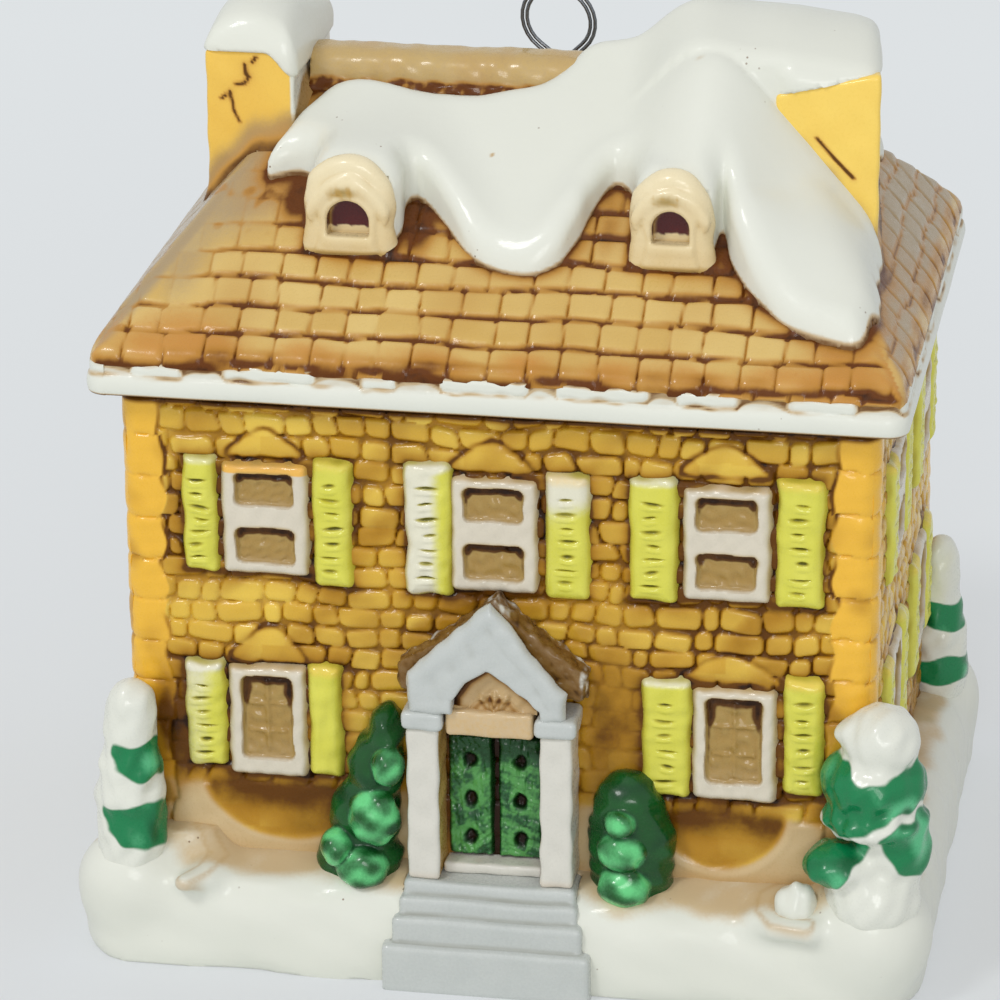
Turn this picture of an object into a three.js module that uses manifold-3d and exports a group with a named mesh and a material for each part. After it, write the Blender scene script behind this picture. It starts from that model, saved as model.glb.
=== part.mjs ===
// A hanging porcelain ornament in the shape of a two-storey stone house under snow.
// Millimetres, +Z up, the front of the house faces -Y and +X is to its right.
// The origin is the middle of the ornament's footprint, on the surface that it stands on.
import * as THREE from "three";
import { ConvexGeometry } from "three/addons/geometries/ConvexGeometry.js";
import { mergeVertices } from "three/addons/utils/BufferGeometryUtils.js";
import Module from "manifold-3d";

// Clearance left where a piece is luted to a curved or sloping neighbour
const seatGap = 0.3;

// How far a cut runs past the faces that it goes through
const cutPast = 1;

// Walls
const wallWidth = 58;
const wallDepth = 44;
const wallThickness = 2.6;
const wallCornerRadius = 1.6;
const eavesHeight = 46;

// Ground that the walls stand on
const groundHeight = 8.5;
const groundFloor = 2.6;
const groundSideMargin = 4.2;
const groundFrontMargin = 5.2;
const groundBackMargin = 3.2;
const groundCornerRadius = 7;
const groundBellyHeight = 2.2;
const groundFootInset = 0.9;
const pourHoleRadius = 5;

// Roof
const roofSideOverhang = 1.9;
const roofFrontOverhang = 1.6;
const fasciaHeight = 3.3;
const ridgeHeight = 66.3;
const ridgeLength = 32.1;
const roofThickness = 3;
const ridgeCapRise = 1.2;
const ridgeCapHalfWidth = 2.6;
const ridgeCapSkirt = 0.5;

// Chimneys, one on each end of the ridge
const chimneyDepth = 14;
const leftChimneyWidth = 6.85;
const rightChimneyWidth = 7.2;
const leftChimneyInset = 5.9;
const rightChimneyInset = 3.9;
const leftChimneyRise = 2.4;
const rightChimneyRise = 1.9;
const capSnowHeight = 4.5;
const capSnowOverhang = 0.35;
const capSnowRound = 3.3;

// Dormers on the front slope
const dormerFrontSetback = 8.1;
const dormerHeight = 8.4;
const dormerShoulderHeight = 5.2;
const leftDormerWidth = 7.6;
const rightDormerWidth = 7.1;
const leftDormerPlace = -11.9;
const rightDormerPlace = 12.2;
const dormerWindowWidth = 3.1;
const dormerWindowHeight = 2.9;
const dormerSillHeight = 1.3;
const dormerWindowSink = 1;
const dormerRoot = 1;

// Snow blanket over the ridge and the right chimney
const snowThickness = 1.9;
const snowEdgeRound = 2.4;
const snowHeapHeight = 3;
const snowHeapPlace = 16.5;
const snowHeapHalfWidth = 8;
const snowHeapHalfDepth = 11;
const driftHeight = 66;
const driftFall = 1.1;
const rightCapSnowHeight = 3;
const snowCell = 1.2;
const snowSkirtFall = 2;

// Windows and shutters
const windowWidth = 6.6;
const windowHeight = 9.3;
const windowThickness = 0.8;
const paneWidth = 4.6;
const paneSink = 0.45;
const upperPaneHeight = 2.7;
const lowerPaneHeight = 7.1;
const upperPaneSpacing = 4.6;
const shutterWidth = 3.3;
const shutterHeight = 10;
const shutterThickness = 0.9;
const shutterBevel = 0.3;
const shutterGap = 0.2;
const plateInset = 0.5;
const upperRowDrop = 9.7;
const lowerRowRise = 11.2;
const frontWindowSpacing = 17.8;
const sideWindowSpacing = 20;

// Porch and door
const porchWidth = 12.8;
const porchDepth = 3.7;
const postWidth = 2.5;
const postHeight = 12.7;
const capitalHeight = 1.5;
const capitalOverhang = 0.35;
const gableShoulder = 3.2;
const gableHeight = 9.3;
const gableOpeningShoulder = 0.8;
const gableOpeningHeight = 3.6;
const gableBandWidth = 3.1;
const gableBandThickness = 1.5;
const porchRoofStep = 0.6;
const tympanumThickness = 0.6;
const lintelHeight = 1.9;
const lintelDepth = 2;
const lintelSetback = 0.4;
const doorHeight = 10.4;
const doorThickness = 0.9;
const doorPanelSink = 0.4;
const doorPanelRows = 3;
const doorRail = 0.9;
const doorStile = 0.7;
const sillHeight = 0.9;
const sillDepth = 2.2;

// Steps in front of the porch: a landing just below the ground's top and three treads below it
const landingDrop = 0.1;
const landingDepth = 4.1;
const treadDepth = 0.75;
const treadDrops = [1.1, 1.4, 2.1];
const treadFlares = [0.25, 0.5, 0.75];

// Plants: how far the middle of each one stands from the wall or the porch beside it
const frontLeftTreeReach = 2.2;
const frontRightTreeReach = 1.6;
const backTreeReach = 0.9;
const backTreeInset = 2.5;
const leftShrubPlace = 4;
const leftShrubLean = 0.16;
const rightShrubPlace = 4.1;
const shrubReach = 1;
const rockInset = 5.3;
const rockReach = 3.2;

// Wire hanger
const wireDiameter = 0.3;
const strandSpacing = 0.38;
const hangerPlace = 0.9;
const hangerSetback = 4.4;
const hangerHoleRadius = 1.6;
const hangerSweepRadius = 3.6;
const loopRadius = 2.68;
const loopHeightAboveRidge = 2.3;
const loopLean = 0.1;
const legSpread = 0.75;
const armReach = 2.4;
const armBendRadius = 0.7;
const neckRise = 1.1;
const neckBow = 0.2;
const loopLeaveDegrees = 50;

const frontFace = wallDepth / 2;
const sideFace = wallWidth / 2;
const roofHalfWidth = sideFace + roofSideOverhang;
const roofHalfDepth = frontFace + roofFrontOverhang;
const fasciaTop = eavesHeight + fasciaHeight;
const frontSlope = (ridgeHeight - fasciaTop) / roofHalfDepth;
const hipSlope = (ridgeHeight - fasciaTop) / (roofHalfWidth - ridgeLength / 2);
const stepsFront = frontFace + landingDepth + treadDepth * treadDrops.length;
const footprintFront = Math.max(stepsFront, frontFace + groundFrontMargin);
const landingHeight = groundHeight - landingDrop;
const footprintBack = frontFace + groundBackMargin;
const lowerRowHeight = groundHeight + lowerRowRise;
const upperRowHeight = eavesHeight - upperRowDrop;
const cutTop = ridgeHeight + loopHeightAboveRidge + 2 * loopRadius;

const colours = {
  stone: 0xd7a54b,
  snow: 0xe1e2da,
  shingle: 0xc89650,
  brick: 0xf5c34b,
  dormer: 0xdcc38c,
  frame: 0xd7cdb9,
  shutter: 0xd7d73c,
  post: 0xd7d7c8,
  grey: 0xbec5c0,
  green: 0x1e9660,
  steel: 0x55565a,
};

const wasm = await Module();
wasm.setup();

// A closed three.js geometry as a solid that can be joined and cut
function toSolid(geometry) {
  const bare = geometry.clone();
  bare.deleteAttribute("normal");
  bare.deleteAttribute("uv");
  const merged = mergeVertices(bare, 1e-4);
  const corners = merged.index.array;
  const kept = [];
  for (let i = 0; i < corners.length; i += 3) {
    const [a, b, c] = [corners[i], corners[i + 1], corners[i + 2]];
    if (a !== b && b !== c && c !== a) kept.push(a, b, c);
  }
  return new wasm.Manifold(
    new wasm.Mesh({
      numProp: 3,
      vertProperties: merged.attributes.position.array,
      triVerts: new Uint32Array(kept),
    }),
  );
}

function toGeometry(solid) {
  const mesh = solid.getMesh();
  const positions = new Float32Array(mesh.numVert * 3);
  for (let i = 0; i < mesh.numVert; i += 1) {
    const from = i * mesh.numProp;
    positions.set(mesh.vertProperties.subarray(from, from + 3), i * 3);
  }
  const geometry = new THREE.BufferGeometry();
  geometry.setAttribute("position", new THREE.BufferAttribute(positions, 3));
  geometry.setIndex(new THREE.BufferAttribute(mesh.triVerts, 1));
  geometry.computeVertexNormals();
  return geometry;
}

// Cutting can shave off a loose crumb, so the largest body is the piece
function largestBody(solid) {
  const bodies = solid.decompose();
  bodies.sort((a, b) => b.volume() - a.volume());
  return bodies[0];
}

function cutBy(solid, cutters) {
  return largestBody(cutters.reduce((left, cutter) => left.subtract(cutter), solid));
}

function block(low, high) {
  const size = high.map((value, axis) => value - low[axis]);
  const geometry = new THREE.BoxGeometry(...size);
  geometry.translate(...high.map((value, axis) => (value + low[axis]) / 2));
  return toSolid(geometry);
}

function upright(radius, place, lowZ, highZ) {
  const geometry = new THREE.CylinderGeometry(radius, radius, highZ - lowZ, 24);
  geometry.rotateX(Math.PI / 2);
  geometry.translate(place[0], place[1], (lowZ + highZ) / 2);
  return toSolid(geometry);
}

// An outline drawn in x and z, standing proud of the plane y = -faceY
function relief(outline, faceY, proud) {
  const geometry = new THREE.ExtrudeGeometry(outline, {
    depth: proud,
    bevelEnabled: false,
    curveSegments: 8,
  });
  geometry.rotateX(Math.PI / 2);
  geometry.translate(0, -faceY, 0);
  return toSolid(geometry);
}

// An outline drawn in x and y, raised from lowZ to highZ
function raised(outline, lowZ, highZ) {
  const geometry = new THREE.ExtrudeGeometry(outline, {
    depth: highZ - lowZ,
    bevelEnabled: false,
    curveSegments: 5,
  });
  geometry.translate(0, 0, lowZ);
  return toSolid(geometry);
}

function outlineOf(points) {
  return new THREE.Shape(points.map(([x, y]) => new THREE.Vector2(x, y)));
}

function roundedOutline(lowX, lowY, highX, highY, radius) {
  const shape = new THREE.Shape();
  shape.moveTo(highX, lowY + radius);
  shape.absarc(highX - radius, highY - radius, radius, 0, Math.PI / 2);
  shape.absarc(lowX + radius, highY - radius, radius, Math.PI / 2, Math.PI);
  shape.absarc(lowX + radius, lowY + radius, radius, Math.PI, Math.PI * 1.5);
  shape.absarc(highX - radius, lowY + radius, radius, Math.PI * 1.5, Math.PI * 2);
  return shape;
}

function hull(points) {
  return toSolid(new ConvexGeometry(points.map((point) => new THREE.Vector3(...point))));
}

const house = new THREE.Group();
house.position.y = (footprintFront - footprintBack) / 2;

function addPiece(name, solid, colour, parent = house) {
  const material = new THREE.MeshStandardMaterial({
    color: colour,
    roughness: colour === colours.steel ? 0.4 : 0.25,
    metalness: colour === colours.steel ? 1 : 0,
  });
  const mesh = new THREE.Mesh(toGeometry(solid), material);
  mesh.name = name;
  parent.add(mesh);
}

// Hip roof as a solid block: straight fascia, four sloping planes and a ridge
function hipBlock(halfWidth, halfDepth, lowZ, shoulderZ, topZ, ridgeHalf) {
  const points = [
    [-ridgeHalf, 0, topZ],
    [ridgeHalf, 0, topZ],
  ];
  for (const x of [-halfWidth, halfWidth]) {
    for (const y of [-halfDepth, halfDepth]) {
      points.push([x, y, lowZ], [x, y, shoulderZ]);
    }
  }
  return hull(points);
}

function roofSurface(x, y) {
  const front = ridgeHeight - frontSlope * Math.abs(y);
  const end = fasciaTop + hipSlope * (roofHalfWidth - Math.abs(x));
  return Math.min(front, end);
}

// The roof's outside moved straight up, to cut the pieces that are luted on to it
function roofCutter() {
  const lift = seatGap / Math.cos(Math.atan(hipSlope));
  return hipBlock(
    roofHalfWidth,
    roofHalfDepth,
    eavesHeight,
    fasciaTop + lift,
    ridgeHeight + lift,
    ridgeLength / 2,
  );
}

function hangerHole() {
  return upright(hangerHoleRadius, [hangerPlace, hangerSetback], eavesHeight, cutTop);
}

function makeWalls() {
  const ring = roundedOutline(-sideFace, -frontFace, sideFace, frontFace, wallCornerRadius);
  const inner = roundedOutline(
    -sideFace + wallThickness,
    -frontFace + wallThickness,
    sideFace - wallThickness,
    frontFace - wallThickness,
    wallCornerRadius / 2,
  );
  ring.holes.push(new THREE.Path(inner.getPoints(5)));
  addPiece("wall_shell", raised(ring, groundHeight, eavesHeight), colours.stone);
}

const innerRidge = ridgeHeight - roofThickness;

function makeRoof() {
  const innerWidth = sideFace - wallThickness;
  const innerDepth = frontFace - wallThickness;
  const innerShoulder = fasciaTop + frontSlope * (roofHalfDepth - innerDepth) - roofThickness;
  const hollow = hipBlock(
    innerWidth,
    innerDepth,
    eavesHeight - cutPast,
    innerShoulder,
    innerRidge,
    innerWidth - (innerRidge - innerShoulder) / hipSlope,
  );
  const outer = hipBlock(
    roofHalfWidth,
    roofHalfDepth,
    eavesHeight,
    fasciaTop,
    ridgeHeight,
    ridgeLength / 2,
  );
  const shell = outer.subtract(hollow).subtract(hangerHole());
  addPiece("roof_shell", shell, colours.shingle);
}

// One level ring of the ground: share 0 is the widest, share 1 meets the walls
function groundRing(share, z) {
  const radius = groundCornerRadius * (1 - share) + wallCornerRadius * share;
  const shape = roundedOutline(
    -sideFace - groundSideMargin * (1 - share),
    -frontFace - groundFrontMargin * (1 - share),
    sideFace + groundSideMargin * (1 - share),
    frontFace + groundBackMargin * (1 - share),
    radius,
  );
  return shape.getPoints(5).map((point) => [point.x, point.y, z]);
}

function groundBlock(lift = 0) {
  const points = groundRing(groundFootInset / groundSideMargin, 0);
  const levels = 6;
  for (let i = 0; i <= levels; i += 1) {
    const angle = (i / levels) * (Math.PI / 2);
    const rise = (groundHeight - groundBellyHeight) * Math.sin(angle);
    points.push(...groundRing(1 - Math.cos(angle), groundBellyHeight + rise + lift));
  }
  return hull(points);
}

function stepBlocks(spare = 0) {
  const backY = -frontFace - seatGap + spare;
  const heights = [landingHeight];
  const reaches = [landingDepth];
  const halfWidths = [porchWidth / 2 + seatGap];
  treadDrops.forEach((drop, i) => {
    heights.push(heights[i] - drop);
    reaches.push(reaches[i] + treadDepth);
    halfWidths.push(halfWidths[i] + treadFlares[i]);
  });
  return heights
    .map((height, i) =>
      block(
        [-halfWidths[i] - spare, -frontFace - reaches[i] - spare, -spare],
        [halfWidths[i] + spare, backY, height + spare],
      ),
    )
    .reduce((all, next) => all.add(next));
}

function makeGround() {
  const cavity = block(
    [-sideFace + wallThickness, -frontFace + wallThickness, groundFloor],
    [sideFace - wallThickness, frontFace - wallThickness, groundHeight + cutPast],
  );
  const pourHole = upright(pourHoleRadius, [0, 0], -cutPast, groundFloor + cutPast);
  const base = groundBlock().subtract(cavity).subtract(pourHole);
  addPiece("ground_base", cutBy(base, [stepBlocks(seatGap)]), colours.snow);
  addPiece("porch_steps", stepBlocks(), colours.grey);
}

const leftChimneyOuter = -roofHalfWidth + leftChimneyInset;
const leftChimneyInner = leftChimneyOuter + leftChimneyWidth;
const rightChimneyOuter = roofHalfWidth - rightChimneyInset;
const rightChimneyInner = rightChimneyOuter - rightChimneyWidth;
const leftChimneyTop = ridgeHeight + leftChimneyRise;
const rightChimneyTop = ridgeHeight + rightChimneyRise;

function chimneyBlock(lowX, highX, topZ, spare = 0) {
  const halfDepth = chimneyDepth / 2 + spare;
  return block([lowX - spare, -halfDepth, eavesHeight], [highX + spare, halfDepth, topZ + spare]);
}

function makeChimneys() {
  const left = chimneyBlock(leftChimneyOuter, leftChimneyInner, leftChimneyTop);
  const right = chimneyBlock(rightChimneyInner, rightChimneyOuter, rightChimneyTop);
  addPiece("chimney_left", cutBy(left, [roofCutter()]), colours.brick);
  addPiece("chimney_right", cutBy(right, [roofCutter()]), colours.brick);
}

// A loaf of snow on a chimney: level rings that draw in towards the top
function snowLoaf(lowX, highX, lowZ, height) {
  const points = [];
  const levels = 5;
  for (let i = 0; i <= levels; i += 1) {
    const angle = (i / levels) * (Math.PI / 2);
    const inset = capSnowRound * (1 - Math.cos(angle)) - capSnowOverhang;
    const ring = roundedOutline(
      lowX + inset,
      -chimneyDepth / 2 + inset,
      highX - inset,
      chimneyDepth / 2 - inset,
      Math.min(capSnowRound, ((highX - lowX) / 2 - inset) * 0.95),
    );
    const z = lowZ + height * Math.sin(angle);
    points.push(...ring.getPoints(4).map((point) => [point.x, point.y, z]));
  }
  return hull(points);
}

function makeChimneySnow() {
  const loaf = snowLoaf(leftChimneyOuter, leftChimneyInner, leftChimneyTop, capSnowHeight);
  addPiece("chimney_snow_left", loaf, colours.snow);
}

// Half-round saddle that runs along the ridge from one chimney to the other
function ridgeCapBlock(spare = 0) {
  const halfWidth = ridgeCapHalfWidth + spare;
  const lift = seatGap / Math.cos(Math.atan(frontSlope));
  const skirtLow = ridgeHeight - frontSlope * halfWidth + lift;
  const top = ridgeHeight + ridgeCapRise + spare;
  const shape = new THREE.Shape();
  shape.moveTo(-halfWidth, skirtLow);
  shape.lineTo(0, ridgeHeight + lift);
  shape.lineTo(halfWidth, skirtLow);
  shape.lineTo(halfWidth, skirtLow + ridgeCapSkirt + spare);
  shape.bezierCurveTo(halfWidth * 0.7, top, halfWidth * 0.3, top, 0, top);
  shape.bezierCurveTo(
    -halfWidth * 0.3,
    top,
    -halfWidth * 0.7,
    top,
    -halfWidth,
    skirtLow + ridgeCapSkirt + spare,
  );
  const lowX = leftChimneyInner + seatGap - 2 * spare;
  const highX = rightChimneyInner - seatGap + 2 * spare;
  const geometry = new THREE.ExtrudeGeometry(shape, {
    depth: highX - lowX,
    bevelEnabled: false,
    curveSegments: 5,
  });
  geometry.rotateX(Math.PI / 2);
  geometry.rotateZ(Math.PI / 2);
  geometry.translate(lowX, 0, 0);
  return toSolid(geometry);
}

function makeRidgeCap() {
  addPiece("ridge_cap", cutBy(ridgeCapBlock(), [hangerHole()]), colours.shingle);
}

const dormerFace = roofHalfDepth - dormerFrontSetback;
const dormerFoot = ridgeHeight - frontSlope * dormerFace;

function dormerOutline(width, place, spare = 0) {
  const half = width / 2 + spare;
  const shoulder = dormerFoot + dormerShoulderHeight;
  const apex = dormerFoot + dormerHeight + spare;
  const shape = new THREE.Shape();
  shape.moveTo(place - half, dormerFoot - dormerRoot);
  shape.lineTo(place + half, dormerFoot - dormerRoot);
  shape.lineTo(place + half, shoulder);
  shape.quadraticCurveTo(place + half * 0.75, apex, place, apex);
  shape.quadraticCurveTo(place - half * 0.75, apex, place - half, shoulder);
  return shape;
}

function dormerBlock(width, place, spare = 0) {
  const pastRidge = 10 * spare;
  return relief(dormerOutline(width, place, spare), -pastRidge, dormerFace + pastRidge + spare);
}

function makeDormers() {
  const half = dormerWindowWidth / 2;
  const low = dormerFoot + dormerSillHeight;
  const spring = low + dormerWindowHeight - half;
  const dormers = [
    ["dormer_left", leftDormerWidth, leftDormerPlace],
    ["dormer_right", rightDormerWidth, rightDormerPlace],
  ];
  for (const [name, width, place] of dormers) {
    const arch = new THREE.Shape();
    arch.moveTo(place - half, low);
    arch.lineTo(place + half, low);
    arch.lineTo(place + half, spring);
    arch.absarc(place, spring, half, 0, Math.PI);
    const pocket = relief(arch, dormerFace - dormerWindowSink, dormerWindowSink + cutPast);
    const cutters = [roofCutter(), pocket, ridgeCapBlock(seatGap)];
    addPiece(name, cutBy(dormerBlock(width, place), cutters), colours.dormer);
  }
}

// Edge of the snow blanket seen from above: down the front slope between the dormers,
// out over the right hip, round the right chimney and back over the ridge
const snowEdge = [
  [-19.8, -9.6],
  [-17.2, -9.3],
  [-15.7, -10.2],
  [-15, -14],
  [-12, -14.7],
  [-9, -14.2],
  [-8.2, -11],
  [-6, -12.2],
  [-2.5, -15.4],
  [1.2, -16.3],
  [3.5, -15.5],
  [4.9, -13.7],
  [5.7, -11.4],
  [7.2, -9.2],
  [8.9, -10.5],
  [9.5, -14],
  [12.1, -14.8],
  [15, -14.2],
  [15.8, -12.4],
  [16.7, -14.3],
  [18.7, -16.9],
  [21.3, -18.9],
  [24.5, -20],
  [27.2, -20],
  [28.3, -16.6],
  [27.6, -12.5],
  [27.4, -8],
  [27.4, 7],
  [26.4, 11.5],
  [23.2, 13.6],
  [19.8, 15.6],
  [16.4, 13.9],
  [13.2, 12.3],
  [10.2, 13.4],
  [7.4, 14],
  [5.8, 10.6],
  [5, 6],
  [3.6, 1.6],
  [2.2, -1.3],
  [-0.7, -3.3],
  [-7.7, -4.1],
  [-14.3, -3.5],
  [-17.6, -5.3],
];

// Distance from a point to the edge, positive inside it
function depthInside(x, y, edge) {
  let nearest = Infinity;
  let inside = false;
  edge.forEach(([ax, ay], i) => {
    const [bx, by] = edge[(i + 1) % edge.length];
    const along = ((x - ax) * (bx - ax) + (y - ay) * (by - ay)) / ((bx - ax) ** 2 + (by - ay) ** 2);
    const share = Math.min(1, Math.max(0, along));
    nearest = Math.min(nearest, Math.hypot(x - ax - share * (bx - ax), y - ay - share * (by - ay)));
    if (ay > y !== by > y && x < ax + ((y - ay) / (by - ay)) * (bx - ax)) inside = !inside;
  });
  return inside ? nearest : -nearest;
}

// Height of what the snow lies on: the roof and the dormers' tops
function underSnow(x, y) {
  let z = roofSurface(x, y);
  for (const [width, place] of [
    [leftDormerWidth, leftDormerPlace],
    [rightDormerWidth, rightDormerPlace],
  ]) {
    const off = Math.abs(x - place) / (width / 2);
    if (off < 1.2 && y > -dormerFace) {
      const rise = dormerHeight - (dormerHeight - dormerShoulderHeight) * off ** 2;
      z = Math.max(z, dormerFoot + rise - seatGap);
    }
  }
  return z;
}

// Snow heaped against the right chimney, falling away to the right across the chimney's face
function heapTop(x, y) {
  const heapX = Math.exp(-(((x - snowHeapPlace) / snowHeapHalfWidth) ** 2));
  const heapY = Math.exp(-((y / snowHeapHalfDepth) ** 2));
  const slope = ridgeHeight - frontSlope * Math.abs(y);
  const heap = slope + snowThickness + snowHeapHeight * heapX * heapY;
  if (x < rightChimneyInner || Math.abs(y) < chimneyDepth / 2) return heap;
  const pastFace = Math.max(0, Math.abs(y) - chimneyDepth / 2);
  const drift = driftHeight - driftFall * (x - rightChimneyInner) - frontSlope * pastFace;
  return Math.min(heap, drift);
}

function snowTop(x, y, edge) {
  const depth = depthInside(x, y, edge);
  const lift = seatGap / Math.cos(Math.atan(hipSlope));
  if (depth < 0) return roofSurface(x, y) + lift + snowSkirtFall * depth;
  const share = Math.min(1, depth / snowEdgeRound);
  const round = Math.sqrt(1 - (1 - share) ** 2);
  const bed = underSnow(x, y) + lift;
  const heap = Math.max(0, heapTop(x, y) - bed - snowThickness);
  return bed + (snowThickness + heap) * round;
}

// A block round an edge, whose top follows a height function and stays above its bottom
function heightBlock(edge, lowZ, heightAt) {
  const xs = edge.map(([x]) => x);
  const ys = edge.map(([, y]) => y);
  const [lowX, highX] = [Math.min(...xs) - snowCell, Math.max(...xs) + snowCell];
  const [lowY, highY] = [Math.min(...ys) - snowCell, Math.max(...ys) + snowCell];
  const across = Math.round((highX - lowX) / snowCell);
  const along = Math.round((highY - lowY) / snowCell);
  const geometry = new THREE.BoxGeometry(highX - lowX, highY - lowY, 2, across, along, 1);
  geometry.translate((lowX + highX) / 2, (lowY + highY) / 2, 0);
  const points = geometry.attributes.position;
  for (let i = 0; i < points.count; i += 1) {
    const top = Math.max(lowZ + snowCell, heightAt(points.getX(i), points.getY(i)));
    points.setZ(i, points.getZ(i) > 0 ? top : lowZ);
  }
  return toSolid(geometry);
}

function makeSnowBlanket() {
  const smooth = new THREE.SplineCurve(
    [...snowEdge, snowEdge[0]].map(([x, y]) => new THREE.Vector2(x, y)),
  );
  const edge = smooth.getPoints(snowEdge.length * 3).map((point) => [point.x, point.y]);
  edge.pop();
  const rough = heightBlock(edge, eavesHeight, (x, y) => snowTop(x, y, edge));
  const loaf = snowLoaf(
    rightChimneyInner,
    rightChimneyOuter,
    rightChimneyTop - capSnowOverhang,
    rightCapSnowHeight + capSnowOverhang,
  );
  const chimney = chimneyBlock(rightChimneyInner, rightChimneyOuter, rightChimneyTop, seatGap);
  const leftChimney = chimneyBlock(leftChimneyOuter, leftChimneyInner, leftChimneyTop, seatGap);
  const cutters = [
    roofCutter(),
    ridgeCapBlock(seatGap),
    dormerBlock(leftDormerWidth, leftDormerPlace, seatGap),
    dormerBlock(rightDormerWidth, rightDormerPlace, seatGap),
    chimney,
    leftChimney,
    upright(hangerSweepRadius, [hangerPlace, hangerSetback], eavesHeight, cutTop),
  ];
  addPiece("snow_blanket", cutBy(rough.add(loaf), cutters), colours.snow);
}

// A wall's face as a group: its local front is turned to face outwards from that wall
function facade(turn) {
  const group = new THREE.Group();
  group.rotation.z = turn;
  house.add(group);
  return group;
}

function rectangle(x, z, width, height) {
  return outlineOf([
    [x - width / 2, z - height / 2],
    [x + width / 2, z - height / 2],
    [x + width / 2, z + height / 2],
    [x - width / 2, z + height / 2],
  ]);
}

// Frame with its panes sunk in: two short panes upstairs, one tall pane downstairs
function windowFrame(x, z, face, upstairs) {
  const heights = upstairs ? [-upperPaneSpacing / 2, upperPaneSpacing / 2] : [0];
  const paneHeight = upstairs ? upperPaneHeight : lowerPaneHeight;
  const frame = relief(rectangle(x, z, windowWidth, windowHeight), face, windowThickness);
  const floor = face + windowThickness - paneSink;
  return heights.reduce(
    (left, offset) =>
      left.subtract(
        relief(rectangle(x, z + offset, paneWidth, paneHeight), floor, paneSink + cutPast),
      ),
    frame,
  );
}

function shutter(x, z, face) {
  const inset = shutterBevel * 2;
  const geometry = new THREE.ExtrudeGeometry(
    rectangle(0, 0, shutterWidth - inset, shutterHeight - inset),
    {
      depth: shutterThickness - shutterBevel,
      bevelThickness: shutterBevel,
      bevelSize: shutterBevel,
      bevelSegments: 1,
    },
  );
  geometry.rotateX(Math.PI / 2);
  geometry.translate(x, -face, z);
  const wallSide = block(
    [x - shutterWidth, -face, z - shutterHeight],
    [x + shutterWidth, -face + cutPast, z + shutterHeight],
  );
  return toSolid(geometry).subtract(wallSide);
}

const shutterOffset = windowWidth / 2 + shutterGap + shutterWidth / 2;

// Window and its pair of shutters as one moulding, joined by a thin plate
function shutteredWindow(x, z, face, upstairs) {
  const plateWidth = 2 * shutterOffset;
  const plateHeight = windowHeight - 2 * plateInset;
  const plate = relief(rectangle(x, z, plateWidth, plateHeight), face, shutterThickness / 2);
  return windowFrame(x, z, face, upstairs)
    .add(plate)
    .subtract(paneSpace(x, z, face, upstairs))
    .add(shutter(x - shutterOffset, z, face))
    .add(shutter(x + shutterOffset, z, face));
}

function paneSpace(x, z, face, upstairs) {
  const paneHeight = upstairs ? upperPaneHeight : lowerPaneHeight;
  const spot = upstairs ? z + upperPaneSpacing / 2 : z;
  return relief(
    rectangle(x, spot, paneWidth, paneHeight),
    face + windowThickness - paneSink,
    paneSink + cutPast,
  );
}

function makeFrontWindows() {
  const spots = [
    ["upper_left", -frontWindowSpacing, true],
    ["upper_middle", 0, true],
    ["upper_right", frontWindowSpacing, true],
    ["lower_left", -frontWindowSpacing, false],
    ["lower_right", frontWindowSpacing, false],
  ];
  for (const [name, x, upstairs] of spots) {
    const z = upstairs ? upperRowHeight : lowerRowHeight;
    addPiece(`window_${name}`, windowFrame(x, z, frontFace, upstairs), colours.frame);
    const left = shutter(x - shutterOffset, z, frontFace);
    const right = shutter(x + shutterOffset, z, frontFace);
    addPiece(`shutter_${name}_left`, left, colours.shutter);
    addPiece(`shutter_${name}_right`, right, colours.shutter);
  }
}

function makeSideWindows() {
  const sides = [
    ["right_side", Math.PI / 2],
    ["left_side", -Math.PI / 2],
  ];
  for (const [side, turn] of sides) {
    const group = facade(turn);
    const frontSign = turn > 0 ? -1 : 1;
    for (const [place, sign] of [
      ["front", frontSign],
      ["rear", -frontSign],
    ]) {
      const x = (sign * sideWindowSpacing) / 2;
      const upper = shutteredWindow(x, upperRowHeight, sideFace, true);
      const lower = shutteredWindow(x, lowerRowHeight, sideFace, false);
      addPiece(`window_${side}_upper_${place}`, upper, colours.shutter, group);
      addPiece(`window_${side}_lower_${place}`, lower, colours.shutter, group);
    }
  }
}

function makeBack() {
  const group = facade(Math.PI);
  const spots = [
    ["upper_left", frontWindowSpacing, true],
    ["upper_middle", 0, true],
    ["upper_right", -frontWindowSpacing, true],
    ["lower_left", frontWindowSpacing, false],
    ["lower_right", -frontWindowSpacing, false],
  ];
  for (const [name, x, upstairs] of spots) {
    const z = upstairs ? upperRowHeight : lowerRowHeight;
    const piece = shutteredWindow(x, z, frontFace, upstairs);
    addPiece(`window_back_${name}`, piece, colours.shutter, group);
  }
  const middle = groundHeight + doorHeight / 2;
  const door = relief(rectangle(0, middle, windowWidth, doorHeight), frontFace, doorThickness);
  addPiece("back_door", door, colours.green, group);
}

const porchHalf = porchWidth / 2;
const postTop = landingHeight + postHeight;
const capitalTop = postTop + capitalHeight;
const porchFront = frontFace + porchDepth;

function gableOutline(halfWidth, lowZ, shoulderZ, apexZ) {
  return [
    [-halfWidth, lowZ],
    [halfWidth, lowZ],
    [halfWidth, shoulderZ],
    [0, apexZ],
    [-halfWidth, shoulderZ],
  ];
}

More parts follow.
